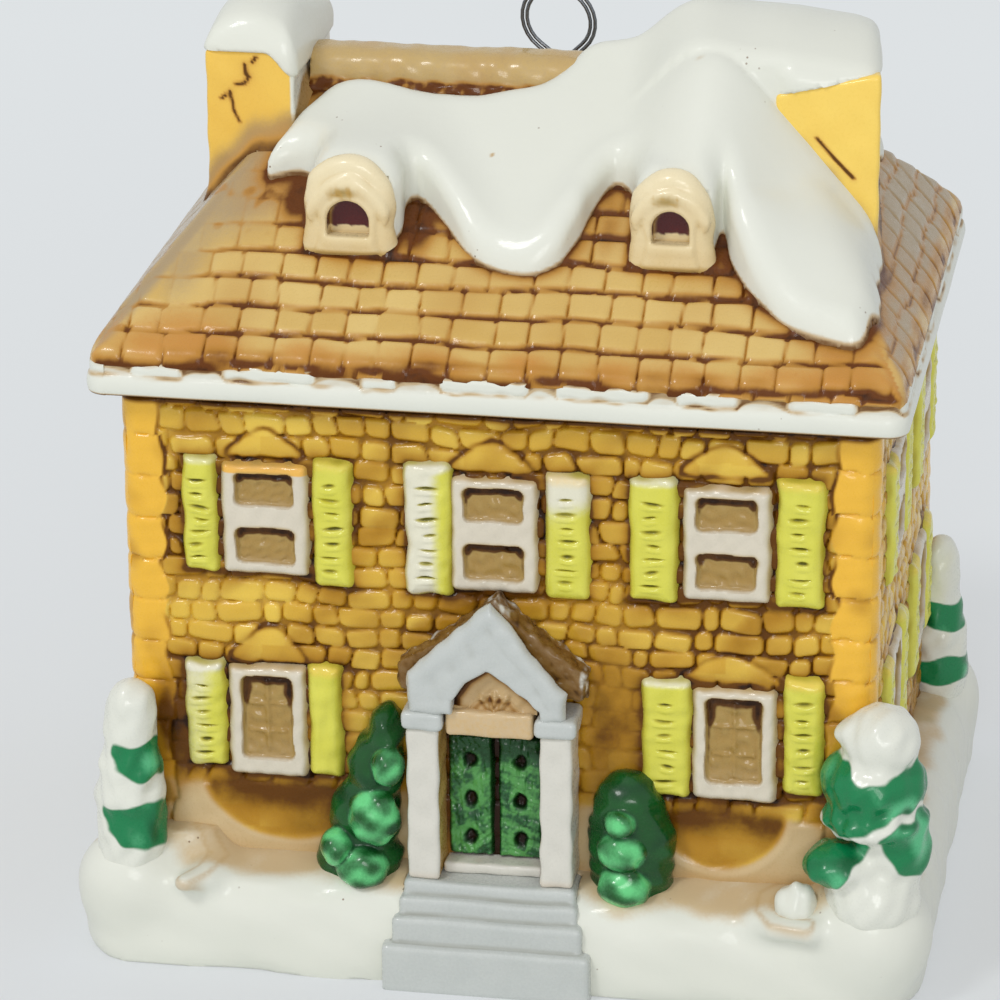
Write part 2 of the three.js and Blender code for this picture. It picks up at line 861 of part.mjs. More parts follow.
function makePorch() {
  const openingHalf = porchHalf - postWidth;
  for (const [name, sign] of [
    ["left", -1],
    ["right", 1],
  ]) {
    const xs = [sign * openingHalf, sign * porchHalf].sort((a, b) => a - b);
    const post = block([xs[0], -porchFront, landingHeight], [xs[1], -frontFace, postTop]);
    const capital = block(
      [xs[0] - capitalOverhang, -porchFront - capitalOverhang, postTop],
      [xs[1] + capitalOverhang, -frontFace, capitalTop],
    );
    addPiece(`porch_post_${name}`, post, colours.post);
    addPiece(`porch_capital_${name}`, capital, colours.grey);
  }
  const lintelHalf = openingHalf - capitalOverhang - seatGap;
  const lintelFront = porchFront - lintelSetback;
  const lintel = block(
    [-lintelHalf, -lintelFront, capitalTop - lintelHeight],
    [lintelHalf, -lintelFront + lintelDepth, capitalTop],
  );
  addPiece("porch_lintel", lintel, colours.post);

  const shoulder = capitalTop + gableShoulder;
  const apex = capitalTop + gableHeight;
  const outer = outlineOf(gableOutline(porchHalf, capitalTop, shoulder, apex));
  const openingShoulder = capitalTop + gableOpeningShoulder;
  const openingApex = capitalTop + gableOpeningHeight;
  const opening = gableOutline(
    porchHalf - gableBandWidth,
    capitalTop - cutPast,
    openingShoulder,
    openingApex,
  );
  const bandBack = porchFront + capitalOverhang - gableBandThickness;
  const band = relief(outer, bandBack, gableBandThickness);
  const bandHole = relief(
    outlineOf(opening),
    bandBack - cutPast,
    gableBandThickness + 2 * cutPast,
  );
  addPiece("porch_pediment", band.subtract(bandHole), colours.grey);
  const roofOutline = gableOutline(porchHalf, capitalTop, shoulder, apex - porchRoofStep);
  const gable = relief(outlineOf(roofOutline), frontFace, bandBack - frontFace);
  const spaceWidth = 2 * (shutterOffset + shutterWidth / 2 + seatGap);
  const windowSpace = relief(
    rectangle(0, upperRowHeight, spaceWidth, shutterHeight + 2 * seatGap),
    frontFace - cutPast,
    cutPast + shutterThickness + seatGap,
  );
  addPiece("porch_roof", cutBy(gable, [windowSpace]), colours.shingle);
  const panel = gableOutline(
    porchHalf - gableBandWidth - seatGap,
    capitalTop,
    openingShoulder - seatGap,
    openingApex - 2 * seatGap,
  );
  addPiece("porch_tympanum", relief(outlineOf(panel), bandBack, tympanumThickness), colours.frame);
}

function makeDoor() {
  const openingHalf = porchHalf - postWidth;
  const sillTop = landingHeight + sillHeight;
  const sill = block(
    [-openingHalf, -frontFace - sillDepth, landingHeight],
    [openingHalf, -frontFace, sillTop],
  );
  addPiece("door_sill", sill, colours.frame);
  const leafWidth = openingHalf - seatGap / 2;
  const rowPitch = (doorHeight - doorRail) / doorPanelRows;
  for (const [name, sign] of [
    ["left", -1],
    ["right", 1],
  ]) {
    const x = (sign * (leafWidth + seatGap / 2)) / 2;
    const width = leafWidth - seatGap / 2;
    const middle = sillTop + doorHeight / 2;
    let leaf = relief(rectangle(x, middle, width, doorHeight), frontFace, doorThickness);
    for (let row = 0; row < doorPanelRows; row += 1) {
      const z = middle + (row - (doorPanelRows - 1) / 2) * rowPitch;
      const panel = rectangle(x, z, width - 2 * doorStile, rowPitch - doorRail);
      const floor = frontFace + doorThickness - doorPanelSink;
      leaf = leaf.subtract(relief(panel, floor, doorPanelSink + cutPast));
    }
    addPiece(`door_${name}`, leaf, colours.green);
  }
}

// A plant turned from its outline: radius and height pairs, drawn through by a curve
function turnedPlant(outline, place, lean = 0) {
  const curve = new THREE.SplineCurve(outline.map(([r, z]) => new THREE.Vector2(r, z)));
  const profile = curve.getPoints(outline.length * 3).map((point) => {
    return new THREE.Vector2(Math.max(0, point.x), point.y);
  });
  profile[0].x = 0;
  profile[profile.length - 1].x = 0;
  const geometry = new THREE.LatheGeometry(profile, 16);
  geometry.rotateX(Math.PI / 2);
  const points = geometry.attributes.position;
  for (let i = 0; i < points.count; i += 1) points.setX(i, points.getX(i) + lean * points.getZ(i));
  geometry.translate(place[0], place[1], groundHeight);
  return toSolid(geometry);
}

// Room for the shuttered windows of the lower row, on the front and on both sides
function lowerRowSpaces() {
  const halfWidth = shutterOffset + shutterWidth / 2 + seatGap;
  const halfHeight = shutterHeight / 2 + seatGap;
  const proud = shutterThickness + seatGap;
  const [lowZ, highZ] = [lowerRowHeight - halfHeight, lowerRowHeight + halfHeight];
  return [-1, 1].flatMap((sign) => {
    const frontX = sign * frontWindowSpacing;
    const sideY = (sign * sideWindowSpacing) / 2;
    return [
      block(
        [frontX - halfWidth, -frontFace - proud, lowZ],
        [frontX + halfWidth, frontFace + proud, highZ],
      ),
      block(
        [-sideFace - proud, sideY - halfWidth, lowZ],
        [sideFace + proud, sideY + halfWidth, highZ],
      ),
    ];
  });
}

function plantCutters() {
  const walls = block(
    [-sideFace - seatGap, -frontFace - seatGap, 0],
    [sideFace + seatGap, frontFace + seatGap, eavesHeight],
  );
  return [walls, groundBlock(seatGap), stepBlocks(seatGap), ...lowerRowSpaces()];
}

const slimTree = [
  [0, -6],
  [2.5, -5],
  [2.8, 1],
  [2.4, 3.4],
  [2.9, 5],
  [2.3, 7.5],
  [1.7, 9.3],
  [1.9, 11],
  [1.2, 13.2],
  [0, 13.8],
];

const fullTree = [
  [0, -6],
  [3.4, -5],
  [3.7, 1],
  [3.2, 4],
  [4, 6.2],
  [3.9, 8.4],
  [2.4, 10.6],
  [2.9, 12.8],
  [2, 15],
  [0, 15.6],
];

const conicalShrub = [
  [0, -5],
  [3.2, -4],
  [3.5, 1.5],
  [3, 5.5],
  [2.2, 9],
  [1.3, 12],
  [0, 13.2],
];

const eggShrub = [
  [0, -3.6],
  [2.8, -2.4],
  [3.7, 1.4],
  [3.4, 5],
  [2.2, 8],
  [0, 9.2],
];

const smallRock = [
  [0, -2.8],
  [1.6, -2.2],
  [1.8, 0.2],
  [1.1, 1.6],
  [0, 2],
];

function makePlants() {
  const postSide = block(
    [-porchHalf - capitalOverhang - seatGap, -porchFront - porchDepth, 0],
    [porchHalf + capitalOverhang + seatGap, -frontFace, capitalTop + gableHeight],
  );
  const rightTreePlace = [sideFace, -frontFace - frontRightTreeReach];
  const [backX, backY] = [sideFace + backTreeReach, frontFace - backTreeInset];
  const shrubY = -frontFace - shrubReach;
  const plants = [
    ["tree_front_left", slimTree, [-sideFace, -frontFace - frontLeftTreeReach], 0],
    ["tree_front_right", fullTree, rightTreePlace, 0],
    ["tree_back_right", slimTree, [backX, backY], 0],
    ["tree_back_left", slimTree, [-backX, backY], 0],
    ["shrub_left", conicalShrub, [-porchHalf - leftShrubPlace, shrubY], leftShrubLean],
    ["shrub_right", eggShrub, [porchHalf + rightShrubPlace, shrubY], 0],
  ];
  for (const [name, outline, place, lean] of plants) {
    const plant = turnedPlant(outline, place, lean);
    addPiece(name, cutBy(plant, [...plantCutters(), postSide]), colours.green);
  }
  const rock = turnedPlant(smallRock, [sideFace - rockInset, -frontFace - rockReach]);
  const tree = turnedPlant(
    fullTree.map(([r, z]) => [r ? r + seatGap : 0, z]),
    rightTreePlace,
  );
  addPiece("snow_rock", cutBy(rock, [...plantCutters(), tree]), colours.snow);
}

// A curve whose steps fall on its own points, so that a tight bend keeps its shape
class PointCurve extends THREE.CatmullRomCurve3 {
  getUtoTmapping(u) {
    return u;
  }
}

// Middle line of the doubled wire in its own plane: arm, leg, loop, leg and arm
function hangerLine() {
  const innerCeiling = innerRidge - frontSlope * (hangerSetback + armReach + strandSpacing);
  const armZ = innerCeiling - 3 * strandSpacing;
  const loopZ = ridgeHeight + loopHeightAboveRidge;
  const leave = THREE.MathUtils.degToRad(loopLeaveDegrees);
  const legTop = loopZ - loopRadius * Math.sin(leave) - neckRise;
  const bend = armBendRadius;
  const half = [];
  const reaches = 4;
  for (let i = 0; i <= reaches; i += 1) {
    half.push([armReach - ((armReach - legSpread - bend) * i) / reaches, armZ]);
  }
  for (const angle of [30, 60, 90]) {
    const turn = THREE.MathUtils.degToRad(angle);
    half.push([legSpread + bend * (1 - Math.sin(turn)), armZ + bend * (1 - Math.cos(turn))]);
  }
  const rises = 7;
  for (let i = 1; i <= rises; i += 1) {
    half.push([legSpread, armZ + bend + ((legTop - armZ - bend) * i) / rises]);
  }
  half.push([legSpread + neckBow, legTop + neckRise * 0.4]);
  const turns = 11;
  for (let i = 0; i <= turns; i += 1) {
    const angle = -leave + ((Math.PI / 2 + leave) * i) / turns;
    half.push([loopRadius * Math.cos(angle), loopZ + loopRadius * Math.sin(angle)]);
  }
  const other = half.slice(0, -1).map(([x, z]) => [-x, z]);
  const line = [...half, ...other.reverse()];
  return line.map(([x, z]) => [x - loopLean * Math.max(0, z - legTop), z]);
}

// Both strands of one wire: out along one side of the line, round a bend and back
function strandPoints() {
  const line = hangerLine();
  const sideways = line.map((point, i) => {
    const before = line[Math.max(0, i - 1)];
    const after = line[Math.min(line.length - 1, i + 1)];
    const run = Math.hypot(after[0] - before[0], after[1] - before[1]);
    return [-(after[1] - before[1]) / run, (after[0] - before[0]) / run];
  });
  const strand = (side) =>
    line.map(([x, z], i) => [
      x + (side * sideways[i][0] * strandSpacing) / 2,
      z + (side * sideways[i][1] * strandSpacing) / 2,
    ]);
  const [endX, endZ] = line[line.length - 1];
  const bend = [];
  for (const degrees of [60, 30, 0, -30, -60]) {
    const angle = THREE.MathUtils.degToRad(degrees);
    bend.push([
      endX - (Math.cos(angle) * strandSpacing) / 2,
      endZ - (Math.sin(angle) * strandSpacing) / 2,
    ]);
  }
  return [...strand(1), ...bend, ...strand(-1).reverse()];
}

function makeHanger() {
  const points = strandPoints();
  const route = new PointCurve(
    points.map(([x, z]) => new THREE.Vector3(hangerPlace + x, hangerSetback, z)),
  );
  const section = new THREE.Shape();
  const sides = 8;
  for (let i = 0; i < sides; i += 1) {
    const angle = (i * 2 * Math.PI) / sides;
    const spot = [(Math.cos(angle) * wireDiameter) / 2, (Math.sin(angle) * wireDiameter) / 2];
    if (i === 0) section.moveTo(...spot);
    else section.lineTo(...spot);
  }
  const geometry = new THREE.ExtrudeGeometry(section, {
    steps: points.length - 1,
    extrudePath: route,
  });
  addPiece("wire_hanger", toSolid(geometry), colours.steel);
}

makeWalls();
makeRoof();
makeGround();
makeChimneys();
makeChimneySnow();
makeRidgeCap();
makeDormers();
makeSnowBlanket();
makeFrontWindows();
makeSideWindows();
makeBack();
makePorch();
makeDoor();
makePlants();
makeHanger();

export default house;
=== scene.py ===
import math
from itertools import product

import bpy
import numpy as np
from mathutils import Matrix, Vector


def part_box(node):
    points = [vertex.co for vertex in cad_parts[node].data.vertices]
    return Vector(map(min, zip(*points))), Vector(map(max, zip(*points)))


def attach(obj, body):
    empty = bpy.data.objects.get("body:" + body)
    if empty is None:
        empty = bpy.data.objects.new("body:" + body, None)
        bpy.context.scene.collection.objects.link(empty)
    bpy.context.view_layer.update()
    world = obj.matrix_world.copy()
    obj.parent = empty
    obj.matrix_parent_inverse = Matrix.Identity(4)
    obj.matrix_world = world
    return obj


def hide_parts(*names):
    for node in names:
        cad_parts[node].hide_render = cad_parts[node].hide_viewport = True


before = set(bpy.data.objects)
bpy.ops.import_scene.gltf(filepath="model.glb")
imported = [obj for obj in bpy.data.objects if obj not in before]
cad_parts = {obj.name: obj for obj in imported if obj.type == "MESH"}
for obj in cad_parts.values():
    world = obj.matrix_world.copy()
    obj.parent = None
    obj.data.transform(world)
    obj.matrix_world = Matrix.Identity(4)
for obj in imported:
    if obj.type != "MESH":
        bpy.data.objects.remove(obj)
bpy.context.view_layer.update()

# Lengths are in millimetres in the house's own frame: x to the right, y 0 under the ridge, z up
MM = 0.001
QUARTER_TURN = math.pi / 2
roof_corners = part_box("roof_shell")
shift = (roof_corners[0].y + roof_corners[1].y) / 2 / MM
to_house = np.array([0, shift, 0])


def node_box(node):
    return [np.array(corner) / MM - to_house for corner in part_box(node)]


wall_low, wall_high = node_box("wall_shell")
side_face, front_face, eaves = wall_high
ground_top = wall_low[2]
roof_half_width, roof_half_depth, ridge_height = node_box("roof_shell")[1]
ridge_low, ridge_high = node_box("ridge_cap")
ridge_half = 16.05
fascia_top = eaves + 3.3
front_slope = (ridge_height - fascia_top) / roof_half_depth
hip_slope = (ridge_height - fascia_top) / (roof_half_width - ridge_half)


# Shaping functions
def unit(values):
    return np.clip(values, 0, 1)


def ease(share):
    share = unit(share)
    return share * share * (3 - 2 * share)


def quarter(share):
    """A quarter round that rises from 0 to 1 as share does."""
    return np.sqrt(np.maximum(0, 1 - (1 - unit(share)) ** 2))


def bell(away, width):
    """1 where away is 0, and near 0 from about twice this width."""
    return np.exp(-((away / width) ** 2))


def tail(away, reach):
    """1 up to an edge, fading away beyond it."""
    return np.exp(-np.maximum(away, 0) / reach)


def blend(a, b, share):
    return a * (1 - share) + share * b


def wander(size, seed, *place):
    """Gentle seeded waves of about this size through a plane or space, from -1 to 1."""
    rng = np.random.default_rng(seed)
    total = 0
    waves = 6
    for _ in range(waves):
        way = rng.normal(size=3)
        way *= 2 * math.pi / size * rng.uniform(0.6, 1.5) / np.linalg.norm(way)
        phase = rng.uniform(0, 2 * math.pi)
        total = total + np.sin(sum(w * p for w, p in zip(way, place)) + phase)
    return total / math.sqrt(waves) / 1.5


def rough(size, seed, *place):
    """Waves of this size with two finer ones over them."""
    finer = 0.6 * wander(size / 2.1, seed + 1, *place) + 0.45 * wander(size / 4.3, seed + 2, *place)
    return (wander(size, seed, *place) + finer) / 1.4


def pool(u, v, spots):
    """Soft spots: place, reach and strength of each."""
    total = 0
    for spot_u, spot_v, reach_u, reach_v, strength in spots:
        away = ((u - spot_u) / reach_u) ** 2 + ((v - spot_v) / reach_v) ** 2
        total = total + strength * np.exp(-away)
    return total


# Signed distances, negative inside
def rounded(qu, qv, corner):
    return np.hypot(np.maximum(qu, 0), np.maximum(qv, 0)) + np.minimum(np.maximum(qu, qv), 0) - corner


def rectangle(u, v, low_u, low_v, high_u, high_v, corner):
    qu = np.abs(u - (low_u + high_u) / 2) - (high_u - low_u) / 2 + corner
    qv = np.abs(v - (low_v + high_v) / 2) - (high_v - low_v) / 2 + corner
    return rounded(qu, qv, corner)


def brick(x, y, z, low, high, corner):
    q = [np.abs(p - (a + b) / 2) - (b - a) / 2 + corner for p, a, b in zip((x, y, z), low, high)]
    outside = np.sqrt(sum(np.maximum(p, 0) ** 2 for p in q))
    return outside + np.minimum(np.maximum(np.maximum(q[0], q[1]), q[2]), 0) - corner


def ball(x, y, z, middle, radii):
    reach = np.sqrt(sum(((p - m) / r) ** 2 for p, m, r in zip((x, y, z), middle, radii)))
    return (reach - 1) * min(radii)


def join(a, b, soft):
    share = unit(0.5 + 0.5 * (b - a) / soft)
    return b * (1 - share) + a * share - soft * share * (1 - share)


def carve(a, b, soft):
    return -join(-a, b, soft)


def meet(a, b, radius):
    """Where both hold, with an edge of this radius."""
    rim = np.hypot(np.maximum(radius + a, 0), np.maximum(radius + b, 0))
    return np.minimum(-radius, np.maximum(a, b)) + rim


def strip(u, v, points):
    """Distance to a line through these points."""
    nearest = np.inf
    for (au, av), (bu, bv) in zip(points, points[1:]):
        eu, ev = bu - au, bv - av
        share = unit(((u - au) * eu + (v - av) * ev) / (eu * eu + ev * ev))
        nearest = np.minimum(nearest, (u - au - share * eu) ** 2 + (v - av - share * ev) ** 2)
    return np.sqrt(nearest)


def polygon(u, v, corners):
    loop = [*corners, corners[0]]
    inside = False
    for (au, av), (bu, bv) in zip(loop, loop[1:]):
        rise = bv - av or 1e-9
        inside = inside ^ (((av > v) != (bv > v)) & (u < (bu - au) * (v - av) / rise + au))
    return np.where(inside, -1, 1) * strip(u, v, loop)


def smooth_loop(points, parts=4):
    points = np.array(points, float)
    before, after, later = (np.roll(points, -k, axis=0) for k in (-1, 1, 2))
    made = []
    for k in range(parts):
        t = k / parts
        cubic = 2 * points + (after - before) * t
        cubic = cubic + (2 * before - 5 * points + 4 * after - later) * t**2
        made.append(0.5 * (cubic + (3 * points - before - 3 * after + later) * t**3))
    return [tuple(p) for p in np.stack(made, axis=1).reshape(-1, 2)]


def coursed(u, v, course, pitch, gap, corner, ragged, seed):
    """Stones or shingles in courses: distance to the nearest one's edge, its tone, and the
    place within it along v from 0 to 1."""
    repeat = 64
    table = np.random.default_rng(seed).uniform(-1, 1, (repeat, repeat, 4))
    row = np.floor(v / course).astype(int)
    rows = np.mod(row, repeat)
    along = u / pitch + 0.5 * (row % 2) + 0.35 * table[rows, 0, 3] + repeat / 2

    def edge(k):
        return k + ragged * table[rows, np.mod(k, repeat), 0]

    k = np.floor(along).astype(int)
    k = k + (along > edge(k + 1)) - (along < edge(k))
    left, right = edge(k), edge(k + 1)
    drawn = table[rows, np.mod(k, repeat)]
    du = (along - (left + right) / 2) * pitch
    dv = v - (row + 0.5) * course + ragged * 0.35 * course * drawn[..., 1]
    lean = ragged * 0.5 * drawn[..., 2]
    du, dv = du + lean * dv, dv - lean * du
    spare = gap / 2 + ragged * 0.12 * course * (1 + drawn[..., 3])
    reach_u = (right - left) / 2 * pitch - spare
    reach_v = course / 2 - spare
    round_off = np.minimum(corner, np.minimum(reach_u, reach_v) * 0.95)
    distance = rounded(np.abs(du) - reach_u + round_off, np.abs(dv) - reach_v + round_off, round_off)
    return distance, drawn[..., 1] * 0.5 + 0.5, v / course - row


# Mesh making: each piece takes the place of a node, and its look is a material; the slot name that comes with
# it is not used
SHARP_EDGE = math.radians(60)
CREASE_REACH = 0.35


def add_piece(name, node, look, points, faces, marks, rims=()):
    material, slot = look
    mesh = bpy.data.meshes.new(name)
    corners = np.concatenate([faces.ravel(), *map(np.asarray, rims)]).astype(np.int32)
    counts = [4] * len(faces) + [len(rim) for rim in rims]
    starts = np.concatenate([[0], np.cumsum(counts)[:-1]]).astype(np.int32)
    mesh.vertices.add(len(points))
    mesh.vertices.foreach_set("co", ((points + to_house) * MM).astype(np.float32).ravel())
    mesh.loops.add(len(corners))
    mesh.loops.foreach_set("vertex_index", corners)
    mesh.polygons.add(len(counts))
    mesh.polygons.foreach_set("loop_start", starts)
    mesh.update(calc_edges=True)
    for mark, values in marks.items():
        layer = mesh.attributes.new(mark, "FLOAT", "POINT")
        layer.data.foreach_set("value", np.broadcast_to(values, len(points)).astype(np.float32))
    mesh.polygons.foreach_set("use_smooth", np.ones(len(counts), bool))
    mesh.set_sharp_from_angle(angle=SHARP_EDGE)
    mesh.materials.append(material)
    piece = bpy.data.objects.new(name, mesh)
    bpy.context.scene.collection.objects.link(piece)
    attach(piece, "house")
    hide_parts(node)


def settle(field, points, cell):
    """Moves points on to the surface along the field's slope."""
    reach = cell / 2
    rises = [field(*(points + reach * way).T) - field(*(points - reach * way).T) for way in np.eye(3)]
    slope = np.stack(rises, axis=1) / (2 * reach)
    move = slope * (field(*points.T) / np.maximum(1e-6, (slope**2).sum(axis=1)))[:, None]
    length = np.linalg.norm(move, axis=1)[:, None]
    return points - move * np.minimum(1, 0.6 * cell / np.maximum(length, 1e-9))


def skin(field, low, high, cell):
    """Points and quads on the surface where the field is zero."""
    low = np.array(low, float)
    counts = np.ceil((np.array(high) - low) / cell).astype(int) + 1
    axes = [low[a] + cell * np.arange(counts[a]) for a in range(3)]
    values = np.array(np.broadcast_to(field(*np.meshgrid(*axes, indexing="ij", sparse=True)), counts))
    for axis, end in product(range(3), (0, -1)):
        at = [slice(None)] * 3
        at[axis] = end
        values[tuple(at)] = np.maximum(values[tuple(at)], cell / 2)
    inside = values < 0
    cube = list(product((0, 1), repeat=3))
    full = sum(
        inside[tuple(slice(k, counts[a] - 1 + k) for a, k in enumerate(corner))].astype(np.int8)
        for corner in cube
    )
    active = (full > 0) & (full < 8)
    number = np.full(counts - 1, -1)
    number[active] = np.arange(active.sum())
    base = np.argwhere(active)
    total = np.zeros((len(base), 3))
    hits = np.zeros(len(base))
    steps = np.eye(3, dtype=int)
    for axis, corner in product(range(3), cube):
        if corner[axis]:
            continue
        start = base + corner
        a = values[tuple(start.T)]
        b = values[tuple((start + steps[axis]).T)]
        crossed = (a < 0) != (b < 0)
        share = a[crossed] / (a[crossed] - b[crossed])
        total[crossed] += np.array(corner) + share[:, None] * steps[axis]
        hits += crossed
    points = low + cell * (base + total / hits[:, None])
    faces = []
    for axis in range(3):
        first = [slice(1, counts[a] - 1) for a in range(3)]
        second = list(first)
        first[axis] = slice(0, counts[axis] - 1)
        second[axis] = slice(1, counts[axis])
        starts = inside[tuple(first)]
        crossed = starts != inside[tuple(second)]
        at = np.argwhere(crossed) + 1 - steps[axis]
        step_u, step_v = steps[(axis + 1) % 3], steps[(axis + 2) % 3]
        quads = [number[tuple((at - back).T)] for back in (step_u + step_v, step_v, 0 * step_u, step_u)]
        quads = np.stack(quads, axis=1)
        faces.append(np.where(starts[crossed][:, None], quads, quads[:, ::-1]))
    for _ in range(2):
        points = settle(field, points, cell)
    return points, np.concatenate(faces)


def hollow(field, points, reach):
    """How hollow the surface is at each point: above 0 in creases, below 0 on ridges."""
    around = sum(field(*(points + sign * reach * way).T) for way in np.eye(3) for sign in (-1, 1))
    return -(around / 6 - field(*points.T)) / reach


def blob(name, node, look, field, low, high, cell, paint=None):
    """A piece from a field; paint(points, hollow) gives its marks."""
    points, faces = skin(field, low, high, cell)
    crease = hollow(field, points, CREASE_REACH)
    marks = {"wash": unit(crease * 2.2), "tone": 0.5}
    if paint:
        marks.update(paint(points, crease))
    add_piece(name, node, look, points, faces, marks)


def slab(name, node, look, front, back_at, marks):
    """A closed sheet: a grid of front points and a plain back that joins its first and last rows.
    back_at holds, for every grid column along the first axis, its two back points."""
    rows, columns = front.shape[:2]
    points = np.concatenate([front.reshape(-1, 3), back_at.reshape(-1, 3)])
    grid = np.arange(rows * columns).reshape(rows, columns)
    back = rows * columns + np.arange(rows * 2).reshape(rows, 2)
    quads = np.stack([grid[:-1, :-1], grid[1:, :-1], grid[1:, 1:], grid[:-1, 1:]], axis=-1)
    faces = [quads.reshape(-1, 4)]
    for a, b in ((grid[:, 0], back[:, 0]), (back[:, 0], back[:, 1]), (back[:, 1], grid[:, -1])):
        faces.append(np.stack([a[:-1], b[:-1], b[1:], a[1:]], axis=1))
    first = [*grid[0], back[0, 1], back[0, 0]]
    last = [*grid[-1][::-1], back[-1, 0], back[-1, 1]]
    whole = {mark: np.concatenate([np.ravel(values), np.zeros(rows * 2)]) for mark, values in marks.items()}
    add_piece(name, node, look, points, np.concatenate(faces), whole, [first, last])


def turned(points, turn):
    """Points of a wall's own frame, turned to face outwards from that wall."""
    c, s = math.cos(turn), math.sin(turn)
    x, y, z = np.moveaxis(points, -1, 0)
    return np.stack([c * x - s * y, s * x + c * y, z], axis=-1)


# Cell sizes of the relief on the front, which is seen closest, and on the other walls
FRONT_CELL, PLAIN_CELL = 0.09, 0.14


def panel(name, node, look, turn, face, span, cell, shape, spare=0.35):
    """Relief on a wall, this much larger than its span: shape(u, v) gives its height off the wall
    and its marks."""
    low, high = (span[0] - spare, span[1] - spare), (span[2] + spare, span[3] + spare)
    us, vs = (np.linspace(a, b, int((b - a) / cell) + 2) for a, b in zip(low, high))
    u, v = np.meshgrid(us, vs, indexing="ij")
    height, marks = shape(u, v)
    front = np.stack([u, -(face + height), v], axis=-1)
    ends = np.stack([v[:, 0], v[:, -1]], axis=1)
    sunk = np.full_like(ends, -(face - 0.7))
    back = np.stack([np.stack([us, us], axis=1), sunk, ends], axis=-1)
    marks = {mark: np.broadcast_to(values, u.shape) for mark, values in marks.items()}
    slab(name, node, look, turned(front, turn), turned(back, turn), marks)


# Materials
def tint(red, green, blue):
    share = [c / 255 for c in (red, green, blue)]
    return (*[((c + 0.055) / 1.055) ** 2.4 if c > 0.04045 else c / 12.92 for c in share], 1)


def node_tools(tree):
    """Short ways to add nodes to a tree. An input is named by its words or by _ and its number."""

    def add(kind, settings=None, **inputs):
        node = tree.nodes.new("ShaderNode" + kind)
        for key, value in (settings or {}).items():
            setattr(node, key, value)
        for key, value in inputs.items():
            socket = node.inputs[int(key[1:]) if key[0] == "_" else key.replace("_", " ")]
            if isinstance(value, bpy.types.NodeSocket):
                tree.links.new(value, socket)
            else:
                socket.default_value = value
        return node

    def mix(a, b, share):
        return add("Mix", {"data_type": "RGBA"}, _0=share, _6=a, _7=b).outputs[2]

    def maths(operation, a, b):
        return add("Math", {"operation": operation}, _0=a, _1=b).outputs[0]

    def spread(value, low, high, low_out=0.0, high_out=1.0, kind="SMOOTHSTEP"):
        ends = {"From_Min": low, "From_Max": high, "To_Min": low_out, "To_Max": high_out}
        return add("MapRange", {"interpolation_type": kind}, Value=value, **ends).outputs[0]

    return add, mix, maths, spread


def new_material(name):
    material = bpy.data.materials.new(name)
    material.use_nodes = True
    material.node_tree.nodes.clear()
    return material, *node_tools(material.node_tree)


def glaze(
    name, slot, low, high, second=None, third=None, amber=(196, 142, 58), brown=(84, 48, 14),
    patch=2.5, gloss=0.3, coat=0.3, relief=0.2, specks=0,
):
    """Painted and glazed porcelain. The marks wash, tone, paint and trim of a mesh say where the
    antique wash pools, how light each stone is, and where the second and third colours are.
    In places the wash also carries painted shade and shadow, and a second or third colour
    carries painted highlights."""
    material, add, mix, maths, spread = new_material(name)
    place = add("TexCoord").outputs["Object"]

    def mark(attribute):
        return add("Attribute", {"attribute_name": attribute}).outputs["Fac"]

    def noise(size, detail):
        return add("TexNoise", Vector=place, Scale=1 / size / MM, Detail=detail).outputs["Fac"]

    patches = noise(patch, 3.0)
    fine = noise(0.3, 4.0)
    share = maths("ADD", maths("MULTIPLY", mark("tone"), 0.7), maths("MULTIPLY", patches, 0.5))
    colour = mix(tint(*low), tint(*high), maths("SUBTRACT", share, 0.1))
    ragged = maths("MULTIPLY", maths("SUBTRACT", fine, 0.5), 0.2)
    for other, attribute in ((second, "paint"), (third, "trim")):
        if other:
            where = spread(maths("ADD", mark(attribute), ragged), 0.15, 0.85)
            colour = mix(colour, tint(*other), where)
    uneven = maths("ADD", maths("MULTIPLY", patches, 0.8), maths("ADD", ragged, 0.6))
    pooled = maths("MULTIPLY", mark("wash"), uneven)
    # Three stains by depth of wash; the last, near black, is mostly painted shade, as under the eaves
    for stain, start, full, most in (
        (amber, 0.02, 0.5, 0.85),
        (brown, 0.4, 0.95, 0.95),
        ((34, 16, 8), 1.1, 1.6, 0.9),
    ):
        colour = mix(colour, tint(*stain), spread(pooled, start, full, 0.0, most))
    if specks:
        cells = add("TexVoronoi", Vector=place, Scale=1 / 0.8 / MM)
        dots = spread(cells.outputs["Distance"], 0.06, 0.14, 1.0, 0.0)
        chosen = spread(noise(5, 1.0), 0.62, 0.7)
        colour = mix(colour, tint(*brown), maths("MULTIPLY", maths("MULTIPLY", dots, chosen), specks))
    bumps = maths("ADD", maths("MULTIPLY", fine, 0.3), maths("MULTIPLY", noise(1.1, 2.0), 1.5))
    shader = add(
        "BsdfPrincipled",
        Base_Color=colour,
        Roughness=spread(fine, 0.3, 0.7, gloss - 0.08, gloss + 0.12),
        Specular_IOR_Level=spread(pooled, 0.1, 0.7, 0.3, 0.12),
        Coat_Weight=spread(pooled, 0.1, 0.7, coat, 0.4 * coat),
        Coat_Roughness=0.09,
        Normal=add("Bump", Strength=relief, Distance=0.0001, Height=bumps).outputs[0],
    )
    add("OutputMaterial", Surface=shader.outputs[0])
    return material, slot


